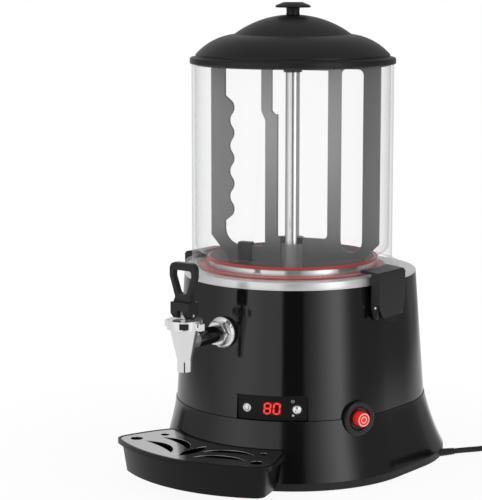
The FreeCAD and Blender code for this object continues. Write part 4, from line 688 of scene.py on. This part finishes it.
# %% Moulded plug
def plug_body():
    """A tube of sections along -Y: superellipses |x/a|^n + |z/b|^n = 1.

    n goes from 2, round, at the lead to 5, a rounded block, and a and b swell and dip along the
    body, so that the waist is narrower than the shoulders."""
    run = np.array([0, 0, 6, 12, 18, 22, 24, 28, 34, 42, 50, 54, 55.6, 56, 56], float)
    a = np.array([0, 3.6, 3.9, 4.2, 4.7, 6.5, 9.5, 12.4, 12.9, 11.6, 12.8, 13.5, 13.2, 12.2, 0])
    b = np.array([0, 3.6, 3.9, 4.2, 4.7, 6.0, 8.0, 9.6, 10.2, 9.5, 10.1, 10.5, 10.2, 9.3, 0])
    n = np.array([2, 2, 2, 2, 2, 2.3, 2.8, 3.4, 3.8, 3.8, 4.2, 4.6, 4.6, 4.6, 4.6])[:, None]
    turn = np.linspace(0, 2 * np.pi, 48, endpoint=False)[None]
    x = a[:, None] * np.sign(np.cos(turn)) * np.abs(np.cos(turn)) ** (2 / n)
    z = b[:, None] * np.sign(np.sin(turn)) * np.abs(np.sin(turn)) ** (2 / n)
    y = np.broadcast_to(-run[:, None], x.shape)
    return PLUG_START + np.stack([x, y, z], axis=-1)


plug = build("moulded_plug", "machine", (plug_body(), True, False), slot="cord_black",
             replaces=("mains_plug",), sharp=40)

# %% [markdown]
# ## The housing
# Both shells are tapering forms on one plan: two half circles of the same radius joined by
# straight sides. The upper shell narrows upwards in a straight line, the skirt flares out
# towards the table. The plan is worked out once, with a column at every degree, so that
# the edges of the panel's window fall on columns.

# %% The plan of the housing
FRONT_ARC = np.radians(np.arange(180.0, 361.0))
REAR_ARC = np.radians(np.arange(0.0, 181.0))
SIDE = np.linspace(0, 1, 9)[1:-1]


def plan(radius, stretch):
    """The stadium's points, anticlockwise from above: radius * (cos t, sin t) about the front
    centre, straight sides of the given stretch, and the same half circle about the rear one."""
    front = radius * np.stack([np.cos(FRONT_ARC), np.sin(FRONT_ARC)], axis=1)
    rear = radius * np.stack([np.cos(REAR_ARC), np.sin(REAR_ARC)], axis=1) + (0, stretch)
    right = np.stack([np.full(SIDE.shape, radius), SIDE * stretch], axis=1)
    left = np.stack([np.full(SIDE.shape, -radius), (1 - SIDE) * stretch], axis=1)
    return np.concatenate([front, right, rear, left])


def tower(levels):
    """The grid of the plans at the levels (z, radius, stretch), one row for each."""
    return np.stack([np.column_stack([plan(radius, stretch), np.full(len(plan(1, 1)), z)])
                     for z, radius, stretch in levels])


def between_levels(levels, heights, degree):
    """Radius and stretch at each height, on the polynomial of that degree through the levels."""
    z, radius, stretch = np.array(levels, float).T
    fitted = [np.polyval(np.polyfit(z, values, degree), heights) for values in (radius, stretch)]
    return np.column_stack([heights, *fitted])


TOP_RADIUS, TOP_STRETCH = 136, 38
UPPER = [(84, 146, 42), (241.5, TOP_RADIUS, TOP_STRETCH)]
SKIRT = [(11, 162, 62), (36, 157, 51), (60, 151, 46.5), (84, 147, 42)]
SHELL_WALL = 2.5
SWITCH = 83.5 * UP
SWITCH_WAY = from_front(69.3)
SWITCH_HOLE = 15
SHANK = 187 * UP
SHANK_HOLE = 11
WINDOW_START, WINDOW_END, WINDOW_TOP = 9, 44, 114


def faces_clear_of(points, centre, way, radius):
    """True for the quads whose middle is further than the radius from the line."""
    ring = np.concatenate([points, points[:, :1]], axis=1)
    middle = (ring[:-1, :-1] + ring[1:, 1:]) / 2
    offset = middle - centre
    beside = offset - (offset @ way)[..., None] * way
    return (np.linalg.norm(beside, axis=-1) > radius) | (offset @ way < 0)


# %% Upper shell with the panel's window
rows = np.concatenate([np.arange(84, WINDOW_TOP, 2.5), [WINDOW_TOP], np.arange(118, 238, 6.0),
                       [238, 240, 241.4]])
shell = tower(between_levels(UPPER, rows, 1))
column = np.degrees(np.arctan2(plan(1, 0)[:, 0], -plan(1, 0)[:, 1]))
column_mid = (column + np.roll(column, -1)) / 2
is_front = np.arange(len(column_mid)) < len(FRONT_ARC) - 1
in_window = (column_mid > WINDOW_START) & (column_mid < WINDOW_END) & is_front
low = rows[:-1] < WINDOW_TOP
keep = ~(in_window[None] & low[:, None]) & faces_clear_of(shell, SWITCH, SWITCH_WAY, SWITCH_HOLE)
keep &= faces_clear_of(shell, SHANK, FORWARD, SHANK_HOLE)
upper_shell = build("upper_shell", "machine", (shell, True, False, keep), slot="housing_black",
                    replaces=("housing_upper",), sharp=40)
soften(thicken(upper_shell, SHELL_WALL), 0.5, 2, 50)

# %% Flared skirt
rows = np.concatenate([[11.05, 12], np.arange(14, 83, 3.0), [83.2, 83.95]])
skirt_grid = tower(between_levels(SKIRT, rows, 3))
keep = faces_clear_of(skirt_grid, SWITCH, SWITCH_WAY, SWITCH_HOLE)
skirt = build("flared_skirt", "machine", (skirt_grid, True, False, keep), slot="skirt_black",
              replaces=("housing_lower",), sharp=40)
soften(thicken(skirt, SHELL_WALL), 0.45, 2, 50)
low_node, high_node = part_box("housing_lower")
print("the skirt's CAD box in mm:", [round(1000 * v, 1) for v in (*low_node, *high_node)])

# %% [markdown]
# ## Plinth and feet
# The skirt stands on a plain dark plinth, set on four rubber feet. Only its edge shows, as a
# matt line along the table.

# %% Plinth and feet
dressed("plinth", "base_plate", "machine", 0.8, "base_black")
dressed("feet", "rubber_feet", "machine", 0.6, "foot_rubber")

# %% [markdown]
# ## The steel deck
# A flat plate of steel closes the housing, on the same plan as the shell. A round ring stands on
# it about the bowl's axis: a drawn collar with a rounded shoulder that carries the bowl's flange.
# The surface goes from the plan to the circle, so each point of the plan is matched to the point
# of the circle that lies in the same direction from the axis.

# %% Plate and ring
def level_row(points, z):
    """The points of a plan at one height."""
    return np.column_stack([points, np.full(len(points), z)])


outward = plan(TOP_RADIUS, TOP_STRETCH)
outward = outward / np.linalg.norm(outward, axis=1)[:, None]
ring_section = rounded([
    (135.4, 243.05, 0), (135.4, 251.5, 1.6), (118.3, 251.5, 1.0), (118.3, 249.6, 0),
    (133.3, 249.6, 0), (133.3, 241.6, 0)], closed=False, steps=6)
plate_edge = ((TOP_RADIUS, 241.6), (TOP_RADIUS, 242.6), (TOP_RADIUS - 0.4, 243))
deck_rows = [level_row(plan(radius, TOP_STRETCH), z) for radius, z in plate_edge]
deck_rows += [level_row(outward * radius, z) for radius, z in ring_section]
build("steel_deck", "machine", (np.stack(deck_rows), True, True), slot="steel",
      replaces=("top_deck",), sharp=40)

# %% [markdown]
# ## Seal and bowl
# A flat red silicone ring under its foot seals the bowl. A narrow red ring around the pot's
# collar is a painted reflection: the seal's red seen a second time in the clear foot, so that two
# red lines show through it. The bowl is one moulding: a thick foot with a flange that the latches
# press on, a cove inside, and a straight wall.

# %% Red seal, and a ring of painted reflection
lower_ring = [(106.6, 251.05, 0.6), (117.4, 251.05, 0.6), (117.4, 253.4, 0.6), (106.6, 253.4, 0.6)]
# painted reflection: this narrow ring shows the seal's red a second time in the clear foot
seal_reflection_ring = [(105.6, 261.1, 0.5), (107.7, 261.1, 0.5), (107.7, 264.9, 0.7), (105.6, 264.9, 0.7)]
build("red_seal_and_painted_reflection", "machine", lathe(lower_ring, steps=160), lathe(seal_reflection_ring, steps=160),
      slot="seal_red", replaces=("bowl_seal",))

# %% Clear bowl
build("clear_bowl", "machine", lathe([
    (108, 253.55, 0.6), (118.1, 253.55, 0.3), (118.1, 251.6, 0.5), (135.4, 251.6, 0.7),
    (135.4, 256.4, 0.9), (126, 256.5, 1.6), (126, 505, 1.4), (122, 505, 1.4), (122, 274.5, 8),
    (111, 268.5, 3), (108, 265.5, 1.5)], steps=192), slot="bowl_clear", replaces=("bowl",))

# %% [markdown]
# ## Lid and knob
# The lid is turned as one profile: a centring lip, a rim, a step, then two arcs that make the
# dome with its raised crown. The knob is a small mushroom on a stem.

# %% Lid
outside = np.vstack([
    rounded([(118, 503.25, 0.3), (120.8, 503.25, 0.3), (120.8, 505.25, 0.2), (128.2, 505.25, 1),
             (128.2, 513.2, 2.6), (123.2, 513.2, 1.2), (121.2, 514.4, 0.8), (121, 516.6, 0)],
            closed=False),
    arc_run((121, 516.6), (73, 541.4), 74.7)[1:], arc_run((73, 541.4), (11, 565), 122.4)[1:],
    [(8.8, 565.0), (2.2, 565.0), (2.2, 562.1), (11, 562.1)]])
inside = np.vstack([arc_run((70, 538.4), (11, 562), 119.4)[1:][::-1],
                    arc_run((118, 513.6), (70, 538.4), 71.7)[::-1], [(118, 508.2)]])
lid_grid = turned(np.vstack([outside, inside]), steps=192)
build("domed_lid", "lid_assembly", (lid_grid, True, True), slot="lid_black", replaces=("lid",),
      sharp=24)

# %% Knob
build("lid_knob_turned", "lid_assembly", lathe([
    (2.2, 565.05, 0), (8.6, 565.05, 0.6), (8.1, 569.5, 6.0), (8.6, 574, 1.0), (21.9, 574.05, 1.1),
    (21.9, 576.6, 1.4), (12, 580.65, 4), (0, 580.65, 0), (0, 576.6, 0), (2.2, 576.6, 0)], steps=96),
    slot="lid_black", replaces=("lid_knob",), sharp=40)

# %% [markdown]
# ## The stirring paddle
# The paddle is cut from thick plastic plate, with a wavy blade on one side and slots on the
# other, so its form is the CAD one with rounded edges. The hub, bush and wiper are small black
# mouldings, and the column is a steel tube.

# %% Paddle and its fittings
dressed("paddle_plate", "paddle", "paddle_assembly", 0.9, "paddle_grey", 3)
dressed("hub_cap", "paddle_hub", "paddle_assembly", 0.8, "trim_black")
dressed("column_bush", "paddle_bush", "paddle_assembly", 0.9, "trim_black")
dressed("wiper_block", "paddle_wiper", "paddle_assembly", 0.8, "trim_black")

# %% [markdown]
# ## The tap
# The tap is a chrome cone that hangs in front of the housing: a spout below, a valve chamber
# above, and a stub towards the shank. A dark insert sits in its collar, and two short lugs stick
# out at the sides. Its turned forms are profiles. A slit in the spout's front lets the last drops
# run out, and the shade inside it is painted as a dark bar let into the wall.

# %% Cone, spout and stub
cone = [(6, 151.5, 0.4), (8.8, 151.5, 0.6), (8.8, 165.5, 8), (17.2, 202.6, 0.8), (17.2, 207.9, 0.4),
        (12, 207.9, 0.4), (12, 198, 1), (9.5, 178, 1), (6, 178, 0.5)]
stub = [(6.2, 6.5), (10.4, 6.5), (10.4, 19), (6.2, 19)]
build("tap_cone", "machine", lathe(cone, TAP, steps=96), lathe(stub, TAP + SHANK, -FORWARD, 64),
      slot="chrome", replaces=("tap_body",), sharp=40)

# %% Painted shade of the spout's slit
def slit_shade_bar(turn=37.5, half_angle=5.2):
    """A curved dark bar of painted shade in the slit: the section (r, z) at each angle, its end
    sections drawn to their middle.
    """
    section = np.array([(8.0, 151.6), (8.86, 151.6), (8.86, 164.0), (8.0, 164.0)])
    share = np.array([0, 1, 1, 1, 0])[None]
    middle = section.mean(axis=0)
    radius = middle[0] + share * (section[:, :1] - middle[0])
    level = middle[1] + share * (section[:, 1:] - middle[1])
    angle = np.radians(turn + np.array([-1, -1, 0, 1, 1])[None] * half_angle)
    return TAP + np.stack([radius * np.sin(angle), -radius * np.cos(angle), level], axis=-1)


# painted shade: a near-black bar stands for the dark inside of the slit
build("spout_slit_shade", "machine", (slit_shade_bar(), False, True), slot="trim_black",
      finish=FINISHES["base_black"])

# %% Collar and insert
dressed("tap_collar_ring", "tap_collar", "machine", 0.9, "chrome", 3)
dressed("collar_insert", "tap_insert", "machine", 0.5, "trim_black")

# %% [markdown]
# ## Spring of the tap
# Inside the cone a steel spring holds the cup down on its seat, and the handle squeezes it
# between the cup and the neck. A wound wire is a circle swept along a helix. The coil gets a
# mesh of its own, and the share of its length that a lifted stem leaves it is printed.

# %% Coil of the spring
def wound_wire(radius, wire, bottom, top, turns, steps=24, around=10):
    """Circles n cos s + b sin s across the helix (r cos t, r sin t, z), closed at both ends."""
    turn = np.linspace(0, 2 * np.pi * turns, steps * turns + 1)[:, None]
    cosine, sine, zero = np.cos(turn), np.sin(turn), np.zeros_like(turn)
    level = np.linspace(bottom + wire, top - wire, len(turn))[:, None]
    centre = np.stack([radius * cosine, radius * sine, level], axis=-1)
    climb = (top - bottom - 2 * wire) / (2 * np.pi * turns)
    along = np.stack([-radius * sine, radius * cosine, zero + climb], axis=-1)
    along /= np.hypot(radius, climb)
    out = np.stack([cosine, sine, zero], axis=-1)
    side = np.cross(along, out)
    angle = np.linspace(0, 2 * np.pi, around, endpoint=False)[None, :, None]
    skin = centre + wire * (out * np.cos(angle) + side * np.sin(angle))
    flat = np.ones_like(angle)
    return TAP + np.concatenate([centre[:1] * flat, skin, centre[-1:] * flat])


COIL_BOTTOM, COIL_TOP, NECK, STEM_TRAVEL = 186.4, 207.6, 208, 5
coil = build("tap_coil", "machine", (wound_wire(7.5, 1, COIL_BOTTOM, COIL_TOP, 4), True, False),
             slot="steel", replaces=("tap_spring",), sharp=50)
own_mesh(coil)
print("lifted, the coil keeps", round(1 - STEM_TRAVEL / (NECK - COIL_BOTTOM), 3), "of its length")

# %% [markdown]
# ## Shank, flange and nut
# The shank runs from the stub into the pot. A flange and a rubber gasket close the hole in the
# housing, and a hexagon nut clamps them. The corners of a real nut are turned off at 30 degrees,
# so the hexagon is cut by a cone: at each angle the radius is the smaller of the two.

# %% Hexagon nut
def hexagon_nut(width, start, end, bore):
    """Rows of radius min(hexagon, cone): the hexagon is width / 2 / cos(t - nearest flat), and
    the cone takes its corners off towards both ends."""
    turn = np.linspace(0, 2 * np.pi, 144, endpoint=False)[None]
    flat = (turn + np.pi / 6) % (np.pi / 3) - np.pi / 6
    hexagon = width / 2 / np.cos(flat)
    height = np.array([start, start + 0.9, start + 1.9, end - 1.9, end - 0.9, end])[:, None]
    limit = width / 2 * (0.97 + 0.2 * np.array([0, 0.5, 1.1, 1.1, 0.5, 0]))[:, None]
    outer = np.minimum(hexagon, limit)
    radius = np.vstack([outer, bore + 0 * turn, bore + 0 * turn])
    level = np.concatenate([height[:, 0], [end, start]])[:, None] + 0 * turn
    x, z = radius * np.sin(turn), radius * np.cos(turn)
    return SHANK + np.stack([-x, -level, z], axis=-1)


build("hexagon_nut", "machine", (hexagon_nut(28, 145.7, 155.4, 10.5)[:, ::-1], True, True),
      slot="chrome", replaces=("shank_nut",), sharp=20)

# %% Flange, pipe and gasket
build("shank_flange_ring", "machine", lathe([
    (10.55, 142.5, 0), (18.8, 142.5, 0.4), (19, 144.2, 0.9), (15.5, 145.6, 1.2), (10.55, 145.6, 0)],
    SHANK, FORWARD, 96), slot="chrome", replaces=("shank_flange",))
build("shank_pipe", "machine", lathe([
    (6, 101, 0.3), (10.4, 101, 0.5), (10.4, 196, 0.4), (8, 196, 0.3), (8, 201.9, 0.4),
    (6, 201.9, 0.3)], SHANK, FORWARD, 64), slot="chrome", replaces=("tap_shank",),
    finish=polished("pipe_dark_chrome", 0.1, 0.12))
dressed("gasket_ring", "shank_gasket", "machine", 0.4, "seal_red", finish=FINISHES["trim_black"])

# %% [markdown]
# ## Tap handle
# The handle is a black moulded loop on a forked boss. All its edges are well rounded because a
# hand pulls on it, so its bevel is wide.

# %% Handle with its loop
dressed("handle_loop", "tap_handle", "tap_lever", 2.2, "trim_black", 4, 40)

# %% [markdown]
# ## Latches
# Two levers clamp the bowl's flange, each on a chrome pin in a bracket on the housing. They are
# bent from thick black plate with cheeks at both ends, so their edges have a small round.

# %% Latches and their brackets
for side in ("left", "right"):
    dressed("latch_lever_plate_" + side, "latch_" + side, "latch_lever_" + side, 0.9, "lid_black",
            3, finish=FINISHES["trim_black"])
dressed("latch_bracket_blocks", "latch_brackets", "machine", 0.5, "lid_black",
        finish=FINISHES["trim_black"])

# %% [markdown]
# ## Control panel
# The panel is a satin plate behind the window, with two chrome push-buttons and a small display.
# The display shows two red digits, each made of seven bars. A bar is a flat shape with pointed
# ends, so it is a grid whose half-width shrinks near both ends.

# %% Panel plate and display window
dressed("panel_plate", "control_panel", "machine", 0.35, "base_black",
        finish=satin_black("panel_satin", 0.003, 0.34, gloss=0.2))
dressed("display_window_block", "led_display", "machine", 0.5, "display_dark")

# %% Push-buttons
BUTTONS = 98.3 * UP
cap = [(5.25, 138.9, 0.3), (5.25, 144.3, 0.6), (4.3, 144.6, 0.3), (3.9, 143.9, 0.3),
       (3.3, 144.1, 0.3), (2.2, 144.7, 1.2), (0, 144.8, 0), (0, 138.9, 0)]
surround = [(5.7, 142.6, 0.2), (7.4, 142.6, 0.2), (7.2, 143.7, 0.35), (5.8, 143.9, 0.3)]
for side, angle in (("left", 14.1), ("right", 38.6)):
    build("push_button_" + side, "button_" + side, lathe(cap, BUTTONS, from_front(angle), 64),
          slot="chrome", replaces=("panel_button_" + side,), sharp=40)
    build("button_surround_" + side, "machine", lathe(surround, BUTTONS, from_front(angle), 64),
          slot="base_black")

# %% A glow for the digits
def glowing(name, colour, strength):
    """A colour that shines by itself, a little unevenly."""
    finish = Finish(name, roughness=0.4, emission_strength=strength)
    cell = finish.grain(300.0, 2.0)
    dim = tuple(0.7 * value for value in colour[:3]) + (1,)
    finish.feed(base_color=finish.blend(cell, dim, colour),
                emission_color=finish.blend(cell, dim, colour))
    return finish


# %% Digits of seven bars
DISPLAY_WAY = from_front(26.6)
DISPLAY_SIDE = np.cross(UP, DISPLAY_WAY)
DISPLAY_FACE = 143.72 * DISPLAY_WAY + 98.95 * UP
LEAN = 0.08


def bar(centre, upright, length=6.1, width=2.0):
    """A flat bar: half-width w(s) = min(width / 2, distance to the nearer end) for s along it."""
    run = np.array([-1, -1 + width / length, 0, 1 - width / length, 1]) * length / 2
    half = np.minimum(width / 2, length / 2 - np.abs(run))
    across = np.linspace(-1, 1, 3)[None] * half[:, None]
    run = np.broadcast_to(run[:, None], across.shape)
    x, z = (-across, run) if upright else (run, across)
    x, z = x + centre[0], z + centre[1]
    return DISPLAY_FACE + (x + LEAN * z)[..., None] * DISPLAY_SIDE + z[..., None] * UP


SEGMENTS = {"a": (0, 6.2, False), "b": (3.6, 3.1, True), "c": (3.6, -3.1, True),
            "d": (0, -6.2, False), "e": (-3.6, -3.1, True), "f": (-3.6, 3.1, True),
            "g": (0, 0, False)}
DIGIT_OFFSETS = (-5.7, 5.7)
bars = [bar((x + offset, z), upright)
        for offset, letters in zip(DIGIT_OFFSETS, ("abcdefg", "abcdef"))
        for x, z, upright in (SEGMENTS[letter] for letter in letters)]
digits = build("display_digits", "machine", *[(grid, False, False) for grid in bars],
               slot="button_red", finish=glowing("red_digits", (0.85, 0.035, 0.02, 1), 1.3))
thicken(digits, 0.12)


# %% The dim red field behind each digit
def field(offset, half_width=5.4, half_height=7.6, back=0.12):
    """A flat grid of 2 by 2 points behind one digit, square to the display's direction."""
    side, up = np.meshgrid([-half_width, half_width], [-half_height, half_height])
    spot = DISPLAY_FACE - DISPLAY_WAY * back
    return spot + (side[..., None] + offset) * DISPLAY_SIDE + up[..., None] * UP


fields = build("digit_fields", "machine",
               *[(field(offset), False, False) for offset in DIGIT_OFFSETS], slot="display_dark",
               finish=glowing("red_field", (0.09, 0.003, 0.002, 1), 1.0))
thicken(fields, 0.05)

# %% Small printed marks beside the right button
def ring_mark(angle, height, outer, inner, reach=143.25):
    """A flat ring on the panel: points at radius r about a spot on the curved plate."""
    turn = np.linspace(0, 2 * np.pi, 32, endpoint=False)[None]
    radius = np.array([inner, outer])[:, None]
    beside = np.degrees(radius * np.cos(turn) / reach)
    level = height + radius * np.sin(turn)
    spin = np.radians(angle + beside)
    return np.stack([reach * np.sin(spin), -reach * np.cos(spin), level], axis=-1)


def print_white(name):
    """Pale printing ink."""
    finish = Finish(name, roughness=0.5)
    ink = finish.grain(600.0, 2.0)
    return finish.feed(base_color=finish.blend(ink, grey(0.55), grey(0.75)))


spots = [(36.6, 108.2, 1.9, 1.45), (36.6, 108.2, 0.55, 0.0), (36.8, 91.0, 1.6, 0.0)]
marks = build("panel_marks", "machine", *[(ring_mark(*spot), True, False) for spot in spots],
              slot="chrome", finish=print_white("white_print"))
thicken(marks, 0.1)

# %% [markdown]
# ## Power switch
# The switch has a round black bezel, dished around a red push-button. The button's face is
# marked with two light rings. A pattern that follows the button's own axis needs the distance
# from that axis: the length of the cross product of the place and the axis.

# %% Bezel
build("switch_bezel", "machine", lathe([
    (9.25, 144.5, 0.2), (21.8, 144.5, 0.2), (21.8, 150.1, 1.2), (19.9, 151.2, 1.6),
    (15.4, 151.2, 1.2), (13.2, 149.0, 1.2), (9.25, 149.0, 0.3)], SWITCH, SWITCH_WAY, 96),
    slot="skirt_black", replaces=("power_switch_bezel",))

# %% Red button with its rings
def ringed_red(name, radii, width):
    """Red gloss with pale rings at the radii, in millimetres from the button's axis."""
    finish = Finish(name, roughness=0.16, emission_strength=0.45)
    offset = finish.node("VectorMath", {"operation": "SUBTRACT"},
                         {0: finish.place, 1: tuple(metres(SWITCH))})
    cross = finish.node("VectorMath", {"operation": "CROSS_PRODUCT"},
                        {0: offset, 1: tuple(SWITCH_WAY)})
    reach = finish.node("VectorMath", {"operation": "LENGTH"}, {0: cross}, output="Value") * 1000
    mask = sum((reach - radius).maths("ABSOLUTE", reach - radius).between(width, width * 0.4)
               for radius in radii)
    cloud = finish.grain(90.0, 2.0)
    red = finish.blend(cloud, (0.62, 0.018, 0.012, 1), (0.75, 0.03, 0.02, 1))
    finish.feed(base_color=finish.blend(mask, red, (0.95, 0.55, 0.5, 1)),
                emission_color=finish.blend(mask, (0.6, 0.01, 0.005, 1), (0.95, 0.55, 0.5, 1)))
    return finish.bump(cloud, 0.05, 0.05)


build("red_power_button", "power_key", lathe([
    (8.9, 140, 0), (8.9, 158.9, 1.1), (7.4, 159.45, 2.0), (0, 159.3, 0), (0, 140, 0)],
    SWITCH, SWITCH_WAY, 96), slot="button_red", replaces=("power_button",),
    finish=ringed_red("ringed_red", (3.6, 7.4), 0.7))

# %% [markdown]
# ## Drip tray and grid
# The tray hooks into the skirt and catches drips. Its rim stands out over the tray's wall. The
# grid is stamped steel with moon-shaped slots and round holes.

# %% Tray and grid
dressed("drip_tray_shell", "drip_tray", "tray", 0.9, "skirt_black", 3,
        finish=satin_black("tray_satin_black", 0.003, 0.24, gloss=0.22))
dressed("drip_grid_plate", "drip_grid", "grid", 0.4, "steel",
        finish=polished("grid_polished_steel", 0.74, 0.12))

# %% [markdown]
# ## Floor
# A plain pale floor carries the machine and takes its soft shadow. To the camera it glows a
# little by itself, more so further out, so that it runs into the white of the room without an
# edge, while the shadow near the machine stays.

# %% Floor
def pale_floor():
    """A matt floor that glows to the camera, more so further out."""
    finish = Finish("pale_floor", roughness=0.7)
    cloud = finish.grain(3.0, 2.0)
    finish.feed(base_color=finish.blend(cloud, grey(0.86), grey(0.9)))
    away = finish.node("VectorMath", {"operation": "LENGTH"}, {0: finish.place}, output="Value")
    is_camera = finish.node("LightPath", output="Is Camera Ray")
    glow = finish.node("Emission", {}, {"Color": (1, 1, 1, 1), "Strength": 1.0})
    share = (0.93 + away.between(0.22, 0.6) * 0.07) * is_camera
    mixed = finish.node("MixShader", {}, {0: share, 1: finish.surface, 2: glow})
    finish.node("OutputMaterial", {"is_active_output": True}, {"Surface": mixed})
    return finish


def flat_sheet(name, low, high, level):
    """A level rectangle of 2 by 2 points between two corners, in metres."""
    x, y = np.meshgrid([low[0], high[0]], [low[1], high[1]])
    mesh = bpy.data.meshes.new(name)
    spots = np.stack([x, y, np.full(x.shape, level)], axis=-1).reshape(-1, 3)
    mesh.from_pydata(spots, [], quads(2, 2, False, False).reshape(-1, 4))
    item = linked(name, mesh)
    item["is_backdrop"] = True
    return item


floor = wear(flat_sheet("floor", (-12, -12), (12, 12), 0.0), pale_floor())
floor.visible_glossy = False

# %% [markdown]
# ## The room that the gloss mirrors
# Gloss black shows only what it mirrors. A studio puts white sheets and black flags around the
# machine, and each becomes an upright band on the round housing. Here a tall tent stands in
# for them. Only reflections see it. Its light depends on the direction around the machine, by a
# ramp. High up it is an even grey ceiling, and low down it is as bright as the floor.

# %% Tent
TENT_RADIUS = 5.0
TENT_TURNS = [(-180, 0.26), (-142, 0.60), (-104, 0.60), (-97, 0.12), (-89, 0.22), (-48, 0.55),
              (-16, 1.2), (-6, 1.2), (8, 0.95), (25.5, 0.9), (28, 0.02), (47, 0.02), (49.5, 0.3),
              (60, 0.75), (79, 2.2), (85, 2.3), (93, 1.1), (98, 0.5), (105, 0.3), (145, 0.22),
              (158, 0.22), (166, 0.3)]
TENT_PEAK = max(tone for turn, tone in TENT_TURNS)
TENT_ABOVE, TENT_BELOW = 0.35, 0.76


def tent_light(turns):
    """Tone by the direction around the machine, from the front towards +X, in degrees.

    The radial gradient counts from -X, so a direction t stands at ((t + 90) mod 360) / 360. A
    ramp ends at 1, so the tones are shares of the brightest one."""
    material = bpy.data.materials.new("tent_light")
    material.use_nodes = True
    light = Tree(material.node_tree)
    place = light.node("TexCoord", output="Object")
    ring = light.node("TexGradient", {"gradient_type": "RADIAL"}, {"Vector": place}, output="Fac")
    stops = sorted((((turn + 90) % 360) / 360, tone / TENT_PEAK) for turn, tone in turns)
    tone = light.node("ValToRGB", {"stops": stops}, {"Fac": ring}, output="Color")
    rise = light.node("SeparateXYZ", {}, {0: place}, output="Z") / TENT_RADIUS
    bands = light.node("Emission", {}, {"Color": tone, "Strength": TENT_PEAK})
    above = light.node("Emission", {}, {"Color": grey(TENT_ABOVE), "Strength": 1.0})
    below = light.node("Emission", {}, {"Color": grey(TENT_BELOW), "Strength": 1.0})
    mixed = light.node("MixShader", {}, {0: rise.between(0.35, 0.7), 1: bands, 2: above})
    mixed = light.node("MixShader", {}, {0: (-rise).between(0.11, 0.16), 1: mixed, 2: below})
    light.node("OutputMaterial", {}, {"Surface": mixed})
    return material


def ball(radius):
    """The grid (R cos e cos t, R cos e sin t, R sin e) over all directions t and rises e."""
    turn = np.linspace(0, 2 * np.pi, 96, endpoint=False)[None]
    rise = np.linspace(-0.5 * np.pi, 0.5 * np.pi, 48)[:, None]
    return np.stack([radius * np.cos(rise) * np.cos(turn), radius * np.cos(rise) * np.sin(turn),
                     radius * np.sin(rise) + 0 * turn], axis=-1)


sky = ball(TENT_RADIUS)
tent_mesh = bpy.data.meshes.new("tent")
tent_mesh.from_pydata(sky.reshape(-1, 3), [], quads(*sky.shape[:2], True, False).reshape(-1, 4))
tent = linked("tent", tent_mesh)
tent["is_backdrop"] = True
tent_mesh.materials.append(tent_light(TENT_TURNS))
for ray in ("camera", "diffuse", "transmission", "volume_scatter", "shadow"):
    setattr(tent, "visible_" + ray, False)

# %% [markdown]
# ## Lamps and world
# Three large soft lamps light the machine: one high on the left of the camera, a weaker one on
# the right, and one overhead. They hide from reflections, where the tent already stands. The
# world is white to the camera and through clear plastic, and half as bright as a light.

# %% Lamps
def softbox(name, place, target, size, power):
    """A square lamp that faces its target and hides from reflections."""
    lamp = bpy.data.lights.new(name, "AREA")
    lamp.size, lamp.energy = size, power
    item = linked(name, lamp)
    item.location = place
    item.rotation_euler = (Vector(target) - Vector(place)).to_track_quat("-Z", "Y").to_euler()
    item.visible_glossy = False
    return item


softbox("key_lamp", (-0.9, -1.9, 1.9), (0, 0, 0.3), 1.4, 17)
softbox("fill_lamp", (2.2, -0.2, 1.2), (0, 0, 0.3), 1.2, 7)
softbox("top_lamp", (0.1, 0.3, 2.3), (0, 0, 0.3), 1.6, 9)

# %% World
world = bpy.data.worlds.new("white_room")
bpy.context.scene.world = world
world.use_nodes = True
room = Tree(world.node_tree)
seen = sum(room.node("LightPath", output=ray)
           for ray in ("Is Camera Ray", "Is Glossy Ray", "Is Transmission Ray"))
lit_by = room.node("Background", {}, {"Color": (1, 1, 1, 1), "Strength": 0.5})
seen_as = room.node("Background", {}, {"Color": (1, 1, 1, 1), "Strength": 1.0})
shown = room.node("MixShader", {}, {0: seen, 1: lit_by, 2: seen_as})
room.node("OutputWorld", {}, {"Surface": shown})
bpy.context.scene.view_settings.view_transform = "Standard"

# %% [markdown]
# ## Sizes and the end
# The box of the dressed machine is measured against the CAD model's, and the difference printed.

# %% Measure the dressed box
DRESSED_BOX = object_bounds()
boxes = {"cad": [[float(v) for v in corner] for corner in CAD_BOX],
         "dressed": [[float(v) for v in corner] for corner in DRESSED_BOX]}
growth = [[round(1000 * (d - c), 2) for c, d in zip(*corners)]
          for corners in zip(boxes["cad"], boxes["dressed"])]
print("the dressed box differs from the CAD box by", growth, "mm")
